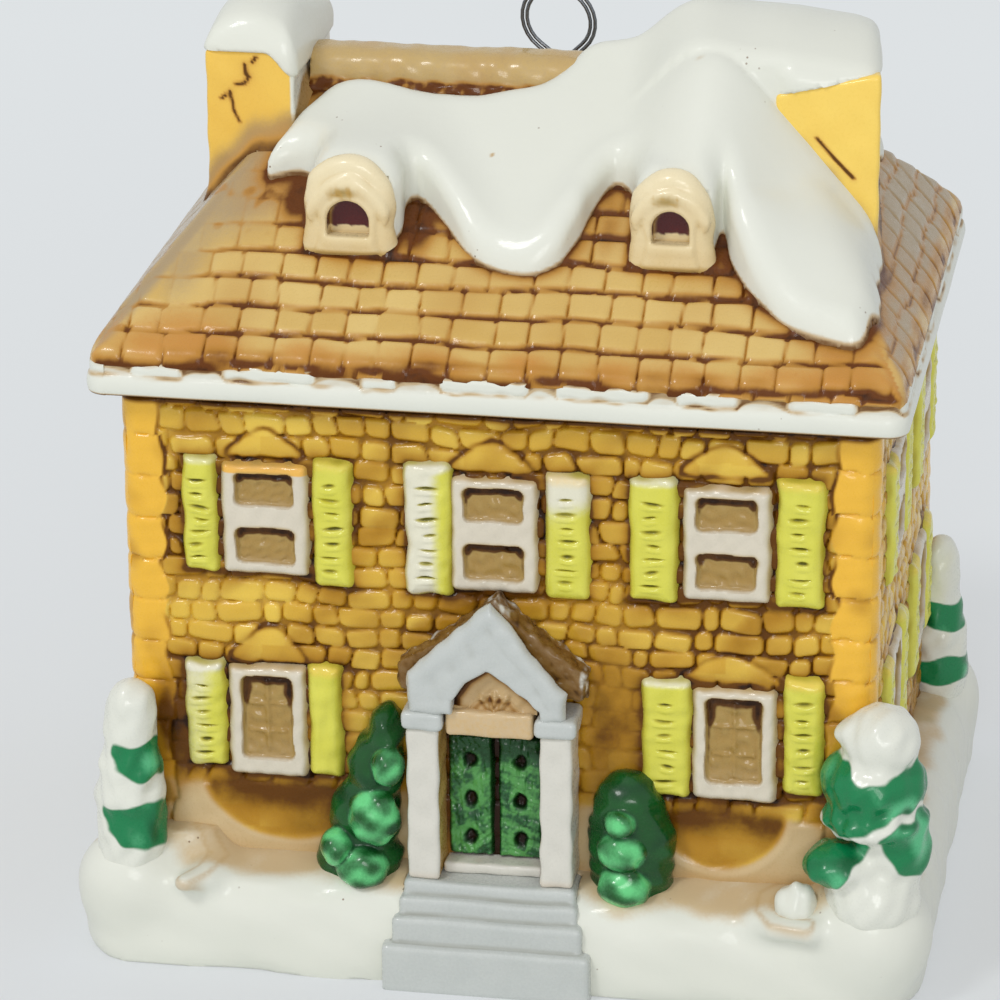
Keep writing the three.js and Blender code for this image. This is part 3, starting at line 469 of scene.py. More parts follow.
WHITE = ((218, 219, 206), (231, 232, 220))
stone_glaze = glaze(
    "stone_paint", "stone_glaze", (207, 157, 36), (243, 209, 86), second=(240, 186, 58),
    third=(210, 184, 138), amber=(170, 118, 24), brown=(92, 52, 8),
)
snow_glaze = glaze(
    "snow_white", "snow_glaze", *WHITE, second=(206, 183, 144), amber=(194, 164, 116),
    brown=(112, 74, 34), patch=9, gloss=0.42, coat=0.25, relief=0.12, specks=0.8,
)
shingle_glaze = glaze(
    "shingle_tan", "shingle_glaze", (204, 165, 84), (223, 193, 120), second=(170, 148, 112),
    third=(198, 138, 58), amber=(180, 126, 48), brown=(94, 46, 10),
)
brick_glaze = glaze(
    "chimney_yellow", "chimney_glaze", (232, 176, 56), (251, 216, 104), second=(178, 146, 94),
    third=WHITE[1], patch=5,
)
dormer_glaze = glaze(
    "dormer_cream", "dormer_glaze", (216, 186, 122), (236, 222, 184), second=(80, 14, 12),
    third=(168, 140, 70), amber=(192, 156, 84),
)
frame_glaze = glaze(
    "frame_white", "frame_glaze", (206, 197, 176), (226, 217, 198), second=(166, 133, 68),
    third=(240, 184, 84), amber=(172, 144, 84), brown=(82, 46, 14),
)
shutter_glaze = glaze(
    "shutter_lime", "shutter_glaze", (208, 204, 62), (226, 222, 96), second=(228, 224, 200),
    third=(240, 196, 84), amber=(178, 166, 52), brown=(84, 82, 22),
)
post_glaze = glaze("post_white", "frame_glaze", (208, 205, 194), (224, 221, 209), second=(204, 164, 92))
grey_glaze = glaze(
    "blue_grey", "grey_glaze", (182, 187, 183), (206, 209, 204), amber=(158, 160, 150),
    brown=(96, 88, 72), gloss=0.26,
)
# Brown tiles; the silver white second colour is for painted highlights and silver specks
porch_roof_glaze = glaze(
    "porch_roof_brown", "shingle_glaze", (104, 76, 36), (150, 116, 66), second=(212, 212, 202),
    amber=(116, 82, 34), brown=(60, 36, 12), patch=1.2,
)
panel_glaze = glaze("panel_tan", "frame_glaze", (184, 152, 100), (212, 184, 138), amber=(160, 118, 60))
door_glaze = glaze(
    "door_green", "green_glaze", (18, 70, 36), (34, 96, 48), second=(84, 154, 78),
    amber=(22, 58, 20), brown=(10, 22, 8), patch=1.0,
)
green_glaze = glaze(
    "leaf_green", "green_glaze", (8, 62, 18), (16, 88, 30), second=(106, 210, 132), third=WHITE[1],
    amber=(20, 62, 34), brown=(20, 30, 12), gloss=0.24,
)
# Snowy trees: the mint third colour is for painted highlights on the green
tree_glaze = glaze(
    "snowy_tree", "green_glaze", *WHITE, second=(10, 124, 72), third=(96, 194, 138),
    amber=(14, 84, 46), brown=(12, 46, 26), patch=6,
)


def steel():
    material, add, mix, _, spread = new_material("steel_wire_dark")
    place = add("TexCoord").outputs["Object"]
    grain = add("TexNoise", Vector=place, Scale=1 / 0.15 / MM, Detail=3.0).outputs["Fac"]
    shader = add(
        "BsdfPrincipled",
        Base_Color=mix(tint(84, 86, 90), tint(132, 134, 138), grain),
        Metallic=1.0,
        Roughness=spread(grain, 0.3, 0.7, 0.25, 0.45, "LINEAR"),
    )
    add("OutputMaterial", Surface=shader.outputs[0])
    return material


# Walls: one relief for each side, with half of each rounded corner at its ends
corner_radius = 1.6
corner_half = corner_radius * math.pi / 4
quoin_course = 3.4
relief_depth = 1.5


def hump(low, top, high):
    """Outline of a low rounded stone over a window."""
    level = (low[1] + high[1]) / 2
    rise = 0.68 * (top[1] - level)
    left = (0.52 * low[0] + 0.48 * top[0], low[1] + rise)
    right = (0.52 * high[0] + 0.48 * top[0], high[1] + rise)
    return smooth_loop([low, left, top, right, high, (top[0], level - 0.1)])


def wall(name, turn, half_width, face, seed, spans, lintels, spots, bare, low_part, cell):
    straight = half_width - corner_radius
    ends = straight + corner_half
    us = np.linspace(-ends, ends, int(2 * ends / cell) + 1)
    vs = np.linspace(ground_top - 0.6, eaves, int((eaves - ground_top + 0.6) / cell) + 1)
    u, v = np.meshgrid(us, vs, indexing="ij")
    over = v - ground_top

    def waves(size, extra, along=u, up=v):
        return wander(size, seed + extra, along, up)

    away, tone, _ = coursed(
        u + 0.35 * waves(7, 0), over + 0.3 * waves(9, 1),
        course=1.72, pitch=2.4, gap=0.05, corner=0.5, ragged=0.28, seed=seed,
    )
    uneven = waves(9, 3)
    faded = unit(pool(u, v, bare))
    plastered = inside = glinting_ledge = np.zeros_like(u)
    for spot_u, spot_v, reach_u, reach_v in low_part:
        plastered = ease((14.6 + 0.4 * uneven - v) / 1.4)
        reach = np.hypot((u - spot_u) / reach_u, (v - spot_v) / reach_v)
        inside = np.maximum(inside, ease(0.5 - (reach - 1) / 0.16))
        # A raised line round each smooth low part, with less wash on it: relief with a painted glint
        glinting_ledge = np.maximum(glinting_ledge, bell(reach - 1.12, 0.06))
    shown = (1 - 0.9 * faded) * (1 - plastered)
    height = -0.3 + shown * 0.38 * quarter(0.1 - away / 0.5) + 0.08 * waves(3, 2)
    glinting_ledge = glinting_ledge * (0.5 + 0.7 * waves(6, 15))
    height = height + (1 - shown) * 0.3 + plastered * (0.25 * (1 - inside) + 0.1 * glinting_ledge)
    patches = unit(waves(4.5, 6))
    wash = (0.5 + 0.3 * uneven) * ease(0.5 + away / 0.24) * shown + 0.1 + 0.1 * uneven
    wash = wash + 0.22 * patches + 0.36 * faded
    wash = blend(wash, (0.12 + 0.14 * uneven) * (1 - 0.6 * glinting_ledge), plastered)
    wash = wash + plastered * inside * (0.36 + 0.3 * ease((v - 11) / 2.5) + 0.1 * waves(5, 7))
    paint = 0
    for corners in lintels:
        mound = polygon(u, v, hump(*corners)) + 0.08 * waves(1.5, 8)
        covered = ease(0.5 - mound / 0.5)
        height = blend(height, -0.26 + 0.46 * quarter(0.1 - mound / 1.5), covered)
        outline = bell(mound - 0.15, 0.2) * (0.5 + 0.5 * waves(3, 9))
        wash = blend(wash, 0.06 + 0.2 * patches, covered) + 0.85 * unit(outline)
        paint = np.maximum(paint, 0.2 * covered)
    ragged = 0.3 * waves(3, 10)
    for span in spans:
        edge = rectangle(u, v, *span, 0.2)
        # More wash just below each window and shutter: painted shade under them
        shade_below = ease((span[1] + 0.6 - v) / 0.8)
        wash = wash + (0.45 + 0.5 * shade_below + ragged) * tail(edge, 0.3) + 0.18 * tail(edge, 1.4)
        height = height - 0.7 * ease((-edge - 0.2) / 0.3)
    from_end = ends - np.abs(u)
    course = np.floor(over / quoin_course + 0.12 * waves(6, 11, up=0 * v))
    width = 2.9 + 0.25 * (course % 2) + 0.35 * waves(3.4, 12, along=0 * u)
    joint = np.abs(over / quoin_course - course - 0.5) - 0.5
    joint = joint * quoin_course + 0.14 + 0.12 * waves(1.6, 4)
    quoin = np.maximum(from_end - width, joint)
    in_quoin = ease(0.5 - (from_end - width - 0.1) / 0.3)
    height = blend(height, -0.24 + 0.24 * quarter(0.25 - quoin / 0.9) + 0.05 * waves(1.8, 13), in_quoin)
    cracked = bell(from_end - width, 0.15) * unit(1.2 * waves(4, 5, along=0 * u))
    stained = 0.12 * ease(0.5 + joint / 0.3) + 0.3 * unit(waves(5, 14) - 0.1)
    wash = blend(wash, stained, in_quoin) + cracked
    # The near-black band along the top of the wall is painted shade under the eaves
    wash = wash + pool(u, v, spots) + 1.7 * np.exp(-(((eaves - v) / 0.85) ** 4))
    foot_line = 0.12 if low_part else 0.5
    wash = wash + foot_line * bell(np.maximum(over, 0), 1.0) * (from_end > 3)
    height = height - 0.35 * np.exp(-(((eaves - v) / 0.6) ** 4))
    angle = np.clip(np.abs(u) - straight, 0, None) / corner_radius
    middle_u = np.sign(u) * np.minimum(np.abs(u), straight)

    def bent(reach, up):
        x = middle_u + np.sign(u) * reach * np.sin(angle)
        return np.stack([x, -(face - corner_radius + reach * np.cos(angle)), up], axis=-1)

    front = bent(corner_radius + height, v)
    back = bent(corner_radius - relief_depth, v)[:, [0, -1]]
    paint = np.maximum(paint, in_quoin)
    marks = {"wash": np.clip(wash, 0, 1.7), "tone": tone, "paint": paint, "trim": plastered * (1 - inside)}
    slab(name, "wall_shell", stone_glaze, turned(front, turn), turned(back, turn), marks)


# Windows of the front as measured: frame, left shutter and right shutter, each low and high u, v
FRONT_WINDOWS = {
    "upper_left": ((-21.1, 31.6, -14.3, 40.8), (-24.2, 31.6, -21.5, 41.1), (-14.0, 31.0, -11.0, 41.3)),
    "upper_middle": ((-3.4, 31.3, 3.3, 40.6), (-6.9, 30.8, -3.3, 41.6), (3.9, 31.2, 7.3, 41.3)),
    "upper_right": ((14.3, 31.7, 21.0, 40.9), (10.2, 31.4, 13.9, 41.4), (21.4, 31.5, 25.0, 42.0)),
    "lower_left": ((-21.0, 14.7, -14.8, 24.0), (-24.4, 15.3, -21.2, 24.2), (-14.7, 15.0, -12.0, 24.4)),
    "lower_right": ((15.1, 15.2, 21.6, 24.6), (11.2, 15.2, 15.0, 25.1), (22.1, 16.0, 25.2, 25.8)),
}
# Left, top and right point of each stone over a window
FRONT_LINTELS = [
    ((-20.5, 41.3), (-17.7, 43.4), (-14.9, 41.3)), ((-3.4, 41.1), (-0.2, 43.4), (2.9, 41.1)),
    ((14.2, 41.9), (17.5, 44.1), (20.7, 41.9)), ((-20.6, 24.4), (-17.5, 27.2), (-15.0, 24.4)),
    ((14.5, 25.1), (17.9, 27.2), (21.8, 25.1)),
]
# Where wash pools, where stones are worn bare, and the smooth low parts: place, reach, strength
FRONT_SPOTS = [
    (-26, 15, 1.2, 5, 0.4), (-26.1, 19.4, 0.9, 3.0, 0.9), (-24.3, 20, 1.6, 3.5, 0.3), (26.3, 14, 1.5, 6, 0.3),
    (25.5, 22, 1.6, 3, 0.3), (0, 30, 4, 1.5, 0.25), (0, 14.5, 3.4, 9, 3.0), (8.2, 22, 1.2, 4, 0.15),
]
FRONT_BARE = [
    (8.9, 22.5, 2.4, 5.5, 1.0), (9.6, 14.5, 3.4, 6, 1.0), (-9.5, 16, 3, 5, 0.9), (-9.5, 27.5, 2.2, 2.5, 0.5),
    (-25, 17, 2, 5, 0.9), (26, 17, 1.8, 6, 0.9), (-23, 29.5, 2.5, 2, 0.3),
]
CRESCENTS = [(-16.6, 14.4, 6.4, 5.0), (17.3, 14.2, 5.0, 4.8)]


def plain_window(u, v):
    """The same shuttered window at another place: its frame and shutters from the CAD's sizes."""
    left, right = ((u + a, v - 5, u + a + 3.3, v + 5) for a in (-6.8, 3.5))
    return (u - 3.3, v - 4.65, u + 3.3, v + 4.65), left, right


def lintels_over(places):
    return [((u - 3.1, v + 5), (u, v + 7.2), (u + 3.1, v + 5)) for u, v in places]


def middle_of(node):
    return sum(node_box(node)) / 2


upper_v = middle_of("window_upper_middle")[2]
lower_v = middle_of("window_lower_left")[2]
side_u = middle_of("window_right_side_upper_rear")[1]
back_u = middle_of("window_upper_right")[0]
SIDE_PLACES = [(-side_u, upper_v), (side_u, upper_v), (-side_u, lower_v), (side_u, lower_v)]
BACK_PLACES = [(-back_u, upper_v), (0, upper_v), (back_u, upper_v), (-back_u, lower_v), (back_u, lower_v)]
# Pooled wash, bare stones, low parts and cell size of the side and back walls
PLAIN = (
    [(0, 20, 3, 8, 0.2), (-10, 12, 6, 2, 0.2), (10, 12, 6, 2, 0.2)],
    [(0, 14, 3, 5, 0.8), (-12, 10.5, 6, 2, 0.8), (12, 10.5, 6, 2, 0.8)],
    [],
    0.2,
)
front_spans = [span for window in FRONT_WINDOWS.values() for span in window]
side_spans, back_spans = (
    [span for place in places for span in plain_window(*place)] for places in (SIDE_PLACES, BACK_PLACES)
)
front_rest = (FRONT_LINTELS, FRONT_SPOTS, FRONT_BARE, CRESCENTS, 0.15)
side_rest = (side_spans, lintels_over(SIDE_PLACES), *PLAIN)
back_door_span = (-3.3, ground_top, 3.3, ground_top + 10.4)
wall("wall_front", 0, side_face, front_face, 3, front_spans, *front_rest)
wall("wall_right", QUARTER_TURN, front_face, side_face, 11, *side_rest)
wall("wall_left", -QUARTER_TURN, front_face, side_face, 23, *side_rest)
wall(
    "wall_back", math.pi, side_face, front_face, 37,
    [*back_spans, back_door_span], lintels_over(BACK_PLACES), *PLAIN,
)


# Windows and shutters
def window_shape(span, upstairs, seed):
    """A frame and its panes; a seed that 5 divides gives it an orange top rail."""
    low_u, low_v, high_u, high_v = span
    middle = (low_u + high_u) / 2
    panes = [(low_u + 1.1, low_v + 1.5, high_u - 1.1, high_v - 0.8)]
    if upstairs:
        levels = ((low_v + 1.0, low_v + 3.9), (high_v - 3.5, high_v - 0.8))
        panes = [(middle - 2.3, foot, middle + 2.3, top) for foot, top in levels]

    def shape(u, v):
        wobble_u = u + 0.08 * wander(3, seed, u, v)
        wobble_v = v + 0.08 * wander(3, seed + 1, u, v)
        edge = rectangle(wobble_u, wobble_v, *span, 0.5)
        height = -0.6 + 1.15 * quarter(0.12 - edge / 0.8) + 0.05 * wander(1.5, seed + 2, u, v)
        wash = (0.34 + 0.14 * wander(2, seed + 3, u, v)) * bell(edge + 0.05, 0.3)
        ripple = wander(0.9, seed + 4, u, v)
        paint = 0
        for left, foot, right, top in panes:
            glass = rectangle(wobble_u, wobble_v, left, foot, right, top, 0.55)
            height = height - 0.5 * quarter(0.1 - glass / 0.3)
            height = height + 0.09 * ripple * (glass < -0.3)
            # Each pane has painted shade: a dark rim inside its top and sides, and more wash towards its top
            share = (v - foot) / (top - foot)
            wide = 0.24 + 0.14 * ease((share - 0.6) / 0.3)
            rim = bell(glass + wide, wide + 0.04)
            beside = ease((left + 0.5 - u) / 0.4) + ease((u - right + 0.5) / 0.4)
            dark = np.maximum(1.2 * ease((share - 0.5) / 0.3), (0.35 + 0.4 * share) * np.minimum(beside, 1))
            wash = wash * (glass > 0) + rim * dark + (glass < -0.1) * (0.02 + 0.28 * share + 0.1 * ripple)
            if not upstairs:
                bars = bell(u - (left + right) / 2, 0.22)
                for level in (0.33, 0.66):
                    bars = np.maximum(bars, bell((share - level) * (top - foot), 0.2))
                bars = bars * ease((-0.3 - glass) / 0.3)
                height = height + 0.16 * bars
                wash = wash - 0.12 * bars + 0.1 * (glass < -0.2) * unit(rough(0.7, seed + 5, u, v))
            # Less pane colour towards the bottom: a painted sheen
            paint = np.maximum(paint, ease(0.5 - glass / 0.2) * (0.72 + 0.28 * ease(share * 1.6)))
        trim = ease((v - high_v + 1.0) / 0.3) if seed % 5 == 0 else 0.35 * ease((v - high_v + 0.6) / 0.5)
        return height, {"wash": np.clip(wash, 0, 1.4), "tone": 0.5, "paint": paint, "trim": trim}

    return shape


def shutter_shape(span, paleness, slats, seed):
    low_u, low_v, high_u, high_v = span
    middle = (low_u + high_u) / 2
    pitch = (high_v - low_v - 2.2) / max(slats, 1)
    beside, above = paleness

    def shape(u, v):
        wobble_u = u + 0.14 * wander(4, seed, u, v)
        wobble_v = v + 0.14 * wander(3, seed + 1, u, v)
        edge = rectangle(wobble_u, wobble_v, *span, 0.5)
        height = -0.6 + 1.3 * quarter(0.12 - edge / 0.95) + 0.07 * wander(1.6, seed + 2, u, v)
        wash = (0.34 + 0.16 * wander(2, seed + 3, u, v)) * bell(edge + 0.03, 0.24)
        for k in range(slats):
            place = low_v + 0.8 + (k + 0.5) * pitch
            long = 0.78 + 0.16 * math.sin(seed + 3 * k)
            start = middle + 0.15 * math.sin(2 * seed + 5 * k)
            thick = 0.15 + 0.05 * math.cos(seed + 4 * k)
            dash = np.hypot((wobble_u - start) / long, (wobble_v - place) / thick)
            height = height - 0.22 * ease(1.3 - dash)
            wash = wash + (0.85 + 0.15 * math.sin(seed + k)) * ease(1.25 - dash)
            lip = np.hypot((wobble_u - start) / long, (wobble_v - place + 0.42) / 0.2)
            height = height + 0.1 * ease(1.3 - lip)
        across = ease((high_u - u) / (high_u - low_u) * 1.4)
        pale = beside * across + above * ease((v - high_v + 4.4) / 3.6)
        pale = pale + 0.55 * ease((v - high_v + 1.0) / 0.7) * (0.7 + 0.5 * math.sin(seed))
        warm = 0.5 * ease((v - high_v + 1.6) / 1.2) * (0.5 - 0.5 * math.sin(seed))
        tone = 0.5 + 0.3 * wander(3, seed, u, v, 1)
        return height, {"wash": wash, "tone": tone, "paint": unit(pale), "trim": warm}

    return shape


# How white a shutter is along its left side and in its upper part
PALENESS = {"upper_middle_left": (1.1, 0), "upper_middle_right": (0.2, 0.9), "lower_left_left": (0.4, 0.2)}
SLATS = {"upper": 7, "lower": 6}
shutter_seed = 50
for place, (frame_span, *shutter_spans) in FRONT_WINDOWS.items():
    level = place.split("_")[0]
    shape = window_shape(frame_span, level == "upper", 100 if place == "upper_left" else 101)
    panel(f"frame_{place}", f"window_{place}", frame_glaze, 0, front_face, frame_span, FRONT_CELL, shape)
    for side, span in zip(("left", "right"), shutter_spans):
        name = f"{place}_{side}"
        shutter_seed += 3
        slats = 0 if name == "lower_left_right" else SLATS[level]
        shape = shutter_shape(span, PALENESS.get(name, (0, 0)), slats, shutter_seed)
        panel(f"louvre_{name}", f"shutter_{name}", shutter_glaze, 0, front_face, span, FRONT_CELL, shape)


def plain_panels(node, turn, face, u, level, seed):
    """A frame and its two shutters, which together stand for one node."""
    frame_span, *shutter_spans = plain_window(u, upper_v if level == "upper" else lower_v)
    shape = window_shape(frame_span, level == "upper", seed + 1)
    panel(f"frame_{node}", node, frame_glaze, turn, face, frame_span, PLAIN_CELL, shape)
    for side, span in zip(("left", "right"), shutter_spans):
        shape = shutter_shape(span, (0, 0), SLATS[level], seed + len(side))
        panel(f"louvre_{node}_{side}", node, shutter_glaze, turn, face, span, PLAIN_CELL, shape)


for side, turn, front_u in (("right_side", QUARTER_TURN, -side_u), ("left_side", -QUARTER_TURN, side_u)):
    for level, (place, u) in product(SLATS, (("front", front_u), ("rear", -front_u))):
        node = f"window_{side}_{level}_{place}"
        plain_panels(node, turn, side_face, u, level, 200 + 7 * len(node))
for level, (place, u) in product(SLATS, (("left", back_u), ("middle", 0), ("right", -back_u))):
    if level == "upper" or place != "middle":
        node = f"window_back_{level}_{place}"
        plain_panels(node, math.pi, front_face, u, level, 300 + 11 * len(node))


# Roof: shingles in courses on the front and back slopes, and scaly rows on the hips
plan_cell = 0.2
plan_x = np.arange(-32, 32.1, plan_cell)
plan_y = np.arange(-25, 25.1, plan_cell)
plan_grid = np.meshgrid(plan_x, plan_y, indexing="ij")
# Edge of the snow in plan
SNOW_EDGE = [
    (-19.8, -9.6), (-17.2, -9.3), (-15.7, -10.2), (-15, -14), (-12, -14.7), (-9, -14.2), (-8.2, -11),
    (-6, -12.2), (-2.5, -15.4), (1.2, -16.3), (3.5, -15.5), (4.9, -13.7), (5.7, -11.4), (7.2, -9.2),
    (8.9, -10.5), (9.5, -14), (12.1, -14.8), (15, -14.2), (15.8, -12.4), (16.7, -14.3), (18.7, -16.9),
    (21.3, -18.9), (24.5, -20), (27.2, -20), (28.3, -16.6), (27.6, -12.5), (27.3, -7.5), (24.9, 7),
    (25.4, 11.5), (23.2, 13.6), (19.8, 15.6), (16.4, 13.9), (13.2, 12.3), (10.2, 13.4), (7.4, 14),
    (5.8, 10.6), (5, 6), (3.6, 1.6), (2.2, -1.0), (-0.7, -2.7), (-7.7, -3.6), (-13.8, -2.7), (-17.2, -4.6),
]
snow_plan = polygon(*plan_grid, smooth_loop(SNOW_EDGE))


def on_plan(heights, x, y):
    u = np.clip((x - plan_x[0]) / plan_cell, 0, len(plan_x) - 1.001)
    v = np.clip((y - plan_y[0]) / plan_cell, 0, len(plan_y) - 1.001)
    i, j = u.astype(int), v.astype(int)
    near, far = (blend(heights[k, j], heights[k, j + 1], v - j) for k in (i, i + 1))
    return blend(near, far, u - i)


def off_snow(x, y):
    """Distance in plan to the snow's edge, negative under the snow."""
    return on_plan(snow_plan, x, y)


def roof_height(x, y):
    front = ridge_height - front_slope * np.abs(y)
    inward = roof_half_width - np.abs(x)
    climb = unit(inward / (roof_half_width - ridge_half))
    return join(front, fascia_top + hip_slope * inward + 0.7 * np.sin(math.pi * climb), 0.9)


dormer_face = roof_half_depth - 8.4
dormer_foot = ridge_height - front_slope * dormer_face
# Middle and half width of each dormer, half width of its window and height of the window's arch
DORMERS = {"dormer_left": (-12.35, 3.43, 1.62, 2.6), "dormer_right": (12.25, 3.15, 1.42, 3.2)}
FADED_SHINGLES = [(-22.5, -10.5, 5, 4.5, 1.1), (-25, -17, 2.2, 3.5, 0.7), (-18.5, -8, 3, 3, 1)]
SHINGLE_SPOTS = [
    (-16.9, -11.2, 1.1, 1.5, 1.5), (-7.2, -13, 1.2, 2.2, 1.2), (7.3, -12, 0.9, 2.5, 0.4),
    (16.5, -14.6, 1.2, 1.6, 0.5), (-18.5, -8, 2, 2.5, 0.3), (26.5, -8.5, 1.5, 2, 0.9),
]
ORANGE_SPOTS = [(26, -20, 3, 3, 0.9), (-24, -21, 5, 1.8, 0.6)]
rim_radius = 1.4


def roof_shingles():
    cell = 0.19
    halves = (roof_half_width, roof_half_depth)
    xs, ys = (np.linspace(-half, half, int(2 * half / cell) + 1) for half in halves)
    x, y = np.meshgrid(xs, ys, indexing="ij")
    from_side, from_front = roof_half_width - np.abs(x), roof_half_depth - np.abs(y)
    front = ridge_height - front_slope * np.abs(y)
    end = fascia_top + hip_slope * from_side
    on_front = front < end
    wave = 0.25 * wander(12, 5, x, y) + 0.08 * wander(3, 6, x, y)
    on_slope = coursed(
        x + 0.2 * wander(5, 8, x, y), from_front + wave,
        course=2.08, pitch=2.75, gap=0.08, corner=0.35, ragged=0.13, seed=61,
    )
    on_hip = coursed(
        y, from_side * 1.15 + wave, course=1.75, pitch=3.4, gap=0.1, corner=0.3, ragged=0.16, seed=67
    )
    away, tone, up = (np.where(on_front, a, b) for a, b in zip(on_slope, on_hip))
    pillow = quarter(0.12 - away / 0.4) * (0.16 + 0.26 * (1 - up))
    seam = np.abs(front - end)
    bare = unit(pool(x, y, FADED_SHINGLES))
    snow_gap = off_snow(x, y)
    fade = ease(seam / 1.2) * np.clip(1 - bare, 0.08, 1)
    fade = fade * np.where(x > 24, np.clip(0.1 + snow_gap / 1.5, 0.1, 1), 1)
    streak = wander(0.9, 64, 0.5 * x + 0.5 * y, 1.6 * y - 0.8 * x) + 0.6 * wander(2.5, 70, x, y)
    scratched = unit(1.6 * streak - 0.9) * bare
    z = roof_height(x, y) + pillow * fade - 0.12
    # A brown outline of the snow on the shingles, with its painted shadow along the edge
    snow_outline_and_shadow = tail(snow_gap, 0.45) * (0.75 + 0.35 * wander(6, 9, x, y))
    lower_line = bell(np.minimum(up, 1 - up) * 2.08, 0.19)
    wash = ease(0.5 + away / 0.16) * (0.08 + 0.5 * fade) + 0.42 * lower_line * fade
    wash = wash * np.where(on_front, 1, 0.62) + 1.1 * snow_outline_and_shadow
    wash = wash + 0.3 * scratched + 0.07 + 0.14 * wander(7, 65, x, y)
    for middle, half, *_ in DORMERS.values():
        wash = wash + tail(rectangle(x, y, middle - half, -dormer_face, middle + half, 0, 0.3), 0.35)
    wash = wash + pool(x, y, SHINGLE_SPOTS)
    rim = np.minimum(from_side, from_front)
    orange = (0.6 + 0.4 * wander(6, 66, x, y)) * ease(1.15 - rim / 2.6)
    orange = orange * np.where(on_front, 1, 0.3) + pool(x, y, ORANGE_SPOTS)
    wash = wash + 0.45 * bell(rim - 0.5, 0.4) * (0.6 + 0.6 * wander(4, 68, x, y))
    along_ridge = (x > ridge_low[0] - 0.5) * (x < ridge_high[0])
    # A dark band beside the ridge roll's foot: brown wash with painted shade in the crevice
    ridge_crevice_shade = bell(np.maximum(np.abs(y) - 2.4, 0), 1.1) * along_ridge
    wash = wash + ridge_crevice_shade * (1 + 0.4 * wander(1.2, 69, x, y))
    grey = np.where(on_front, bare * 0.7, 0.9 * ease(seam / 1.5))
    grey = np.maximum(grey, 0.8 * bell(seam, 1.5) * (x < 0) * (y < 0)) * (1 - ease(1 - rim / 1.2))
    lip = unit(1 - rim / 1.1)
    z = z - 0.75 * (1 - np.sqrt(1 - 0.96 * lip**2))
    over_x = np.maximum(rim_radius - from_side, 0)
    over_y = np.maximum(rim_radius - from_front, 0)
    reach = np.hypot(over_x, over_y)
    pull = np.where(reach > rim_radius, rim_radius / np.maximum(reach, 1e-6), 1)
    x = x - np.sign(x) * over_x * (1 - pull)
    y = y - np.sign(y) * over_y * (1 - pull)
    low = np.full_like(x, fascia_top - 1.6)
    back = np.stack([x * 0.97, y * 0.97, low], axis=-1)[:, [0, -1]]
    marks = {"wash": np.clip(wash, 0, 1.3), "tone": tone, "paint": grey, "trim": unit(orange)}
    slab("roof_shingles", "roof_shell", shingle_glaze, np.stack([x, y, z], axis=-1), back, marks)


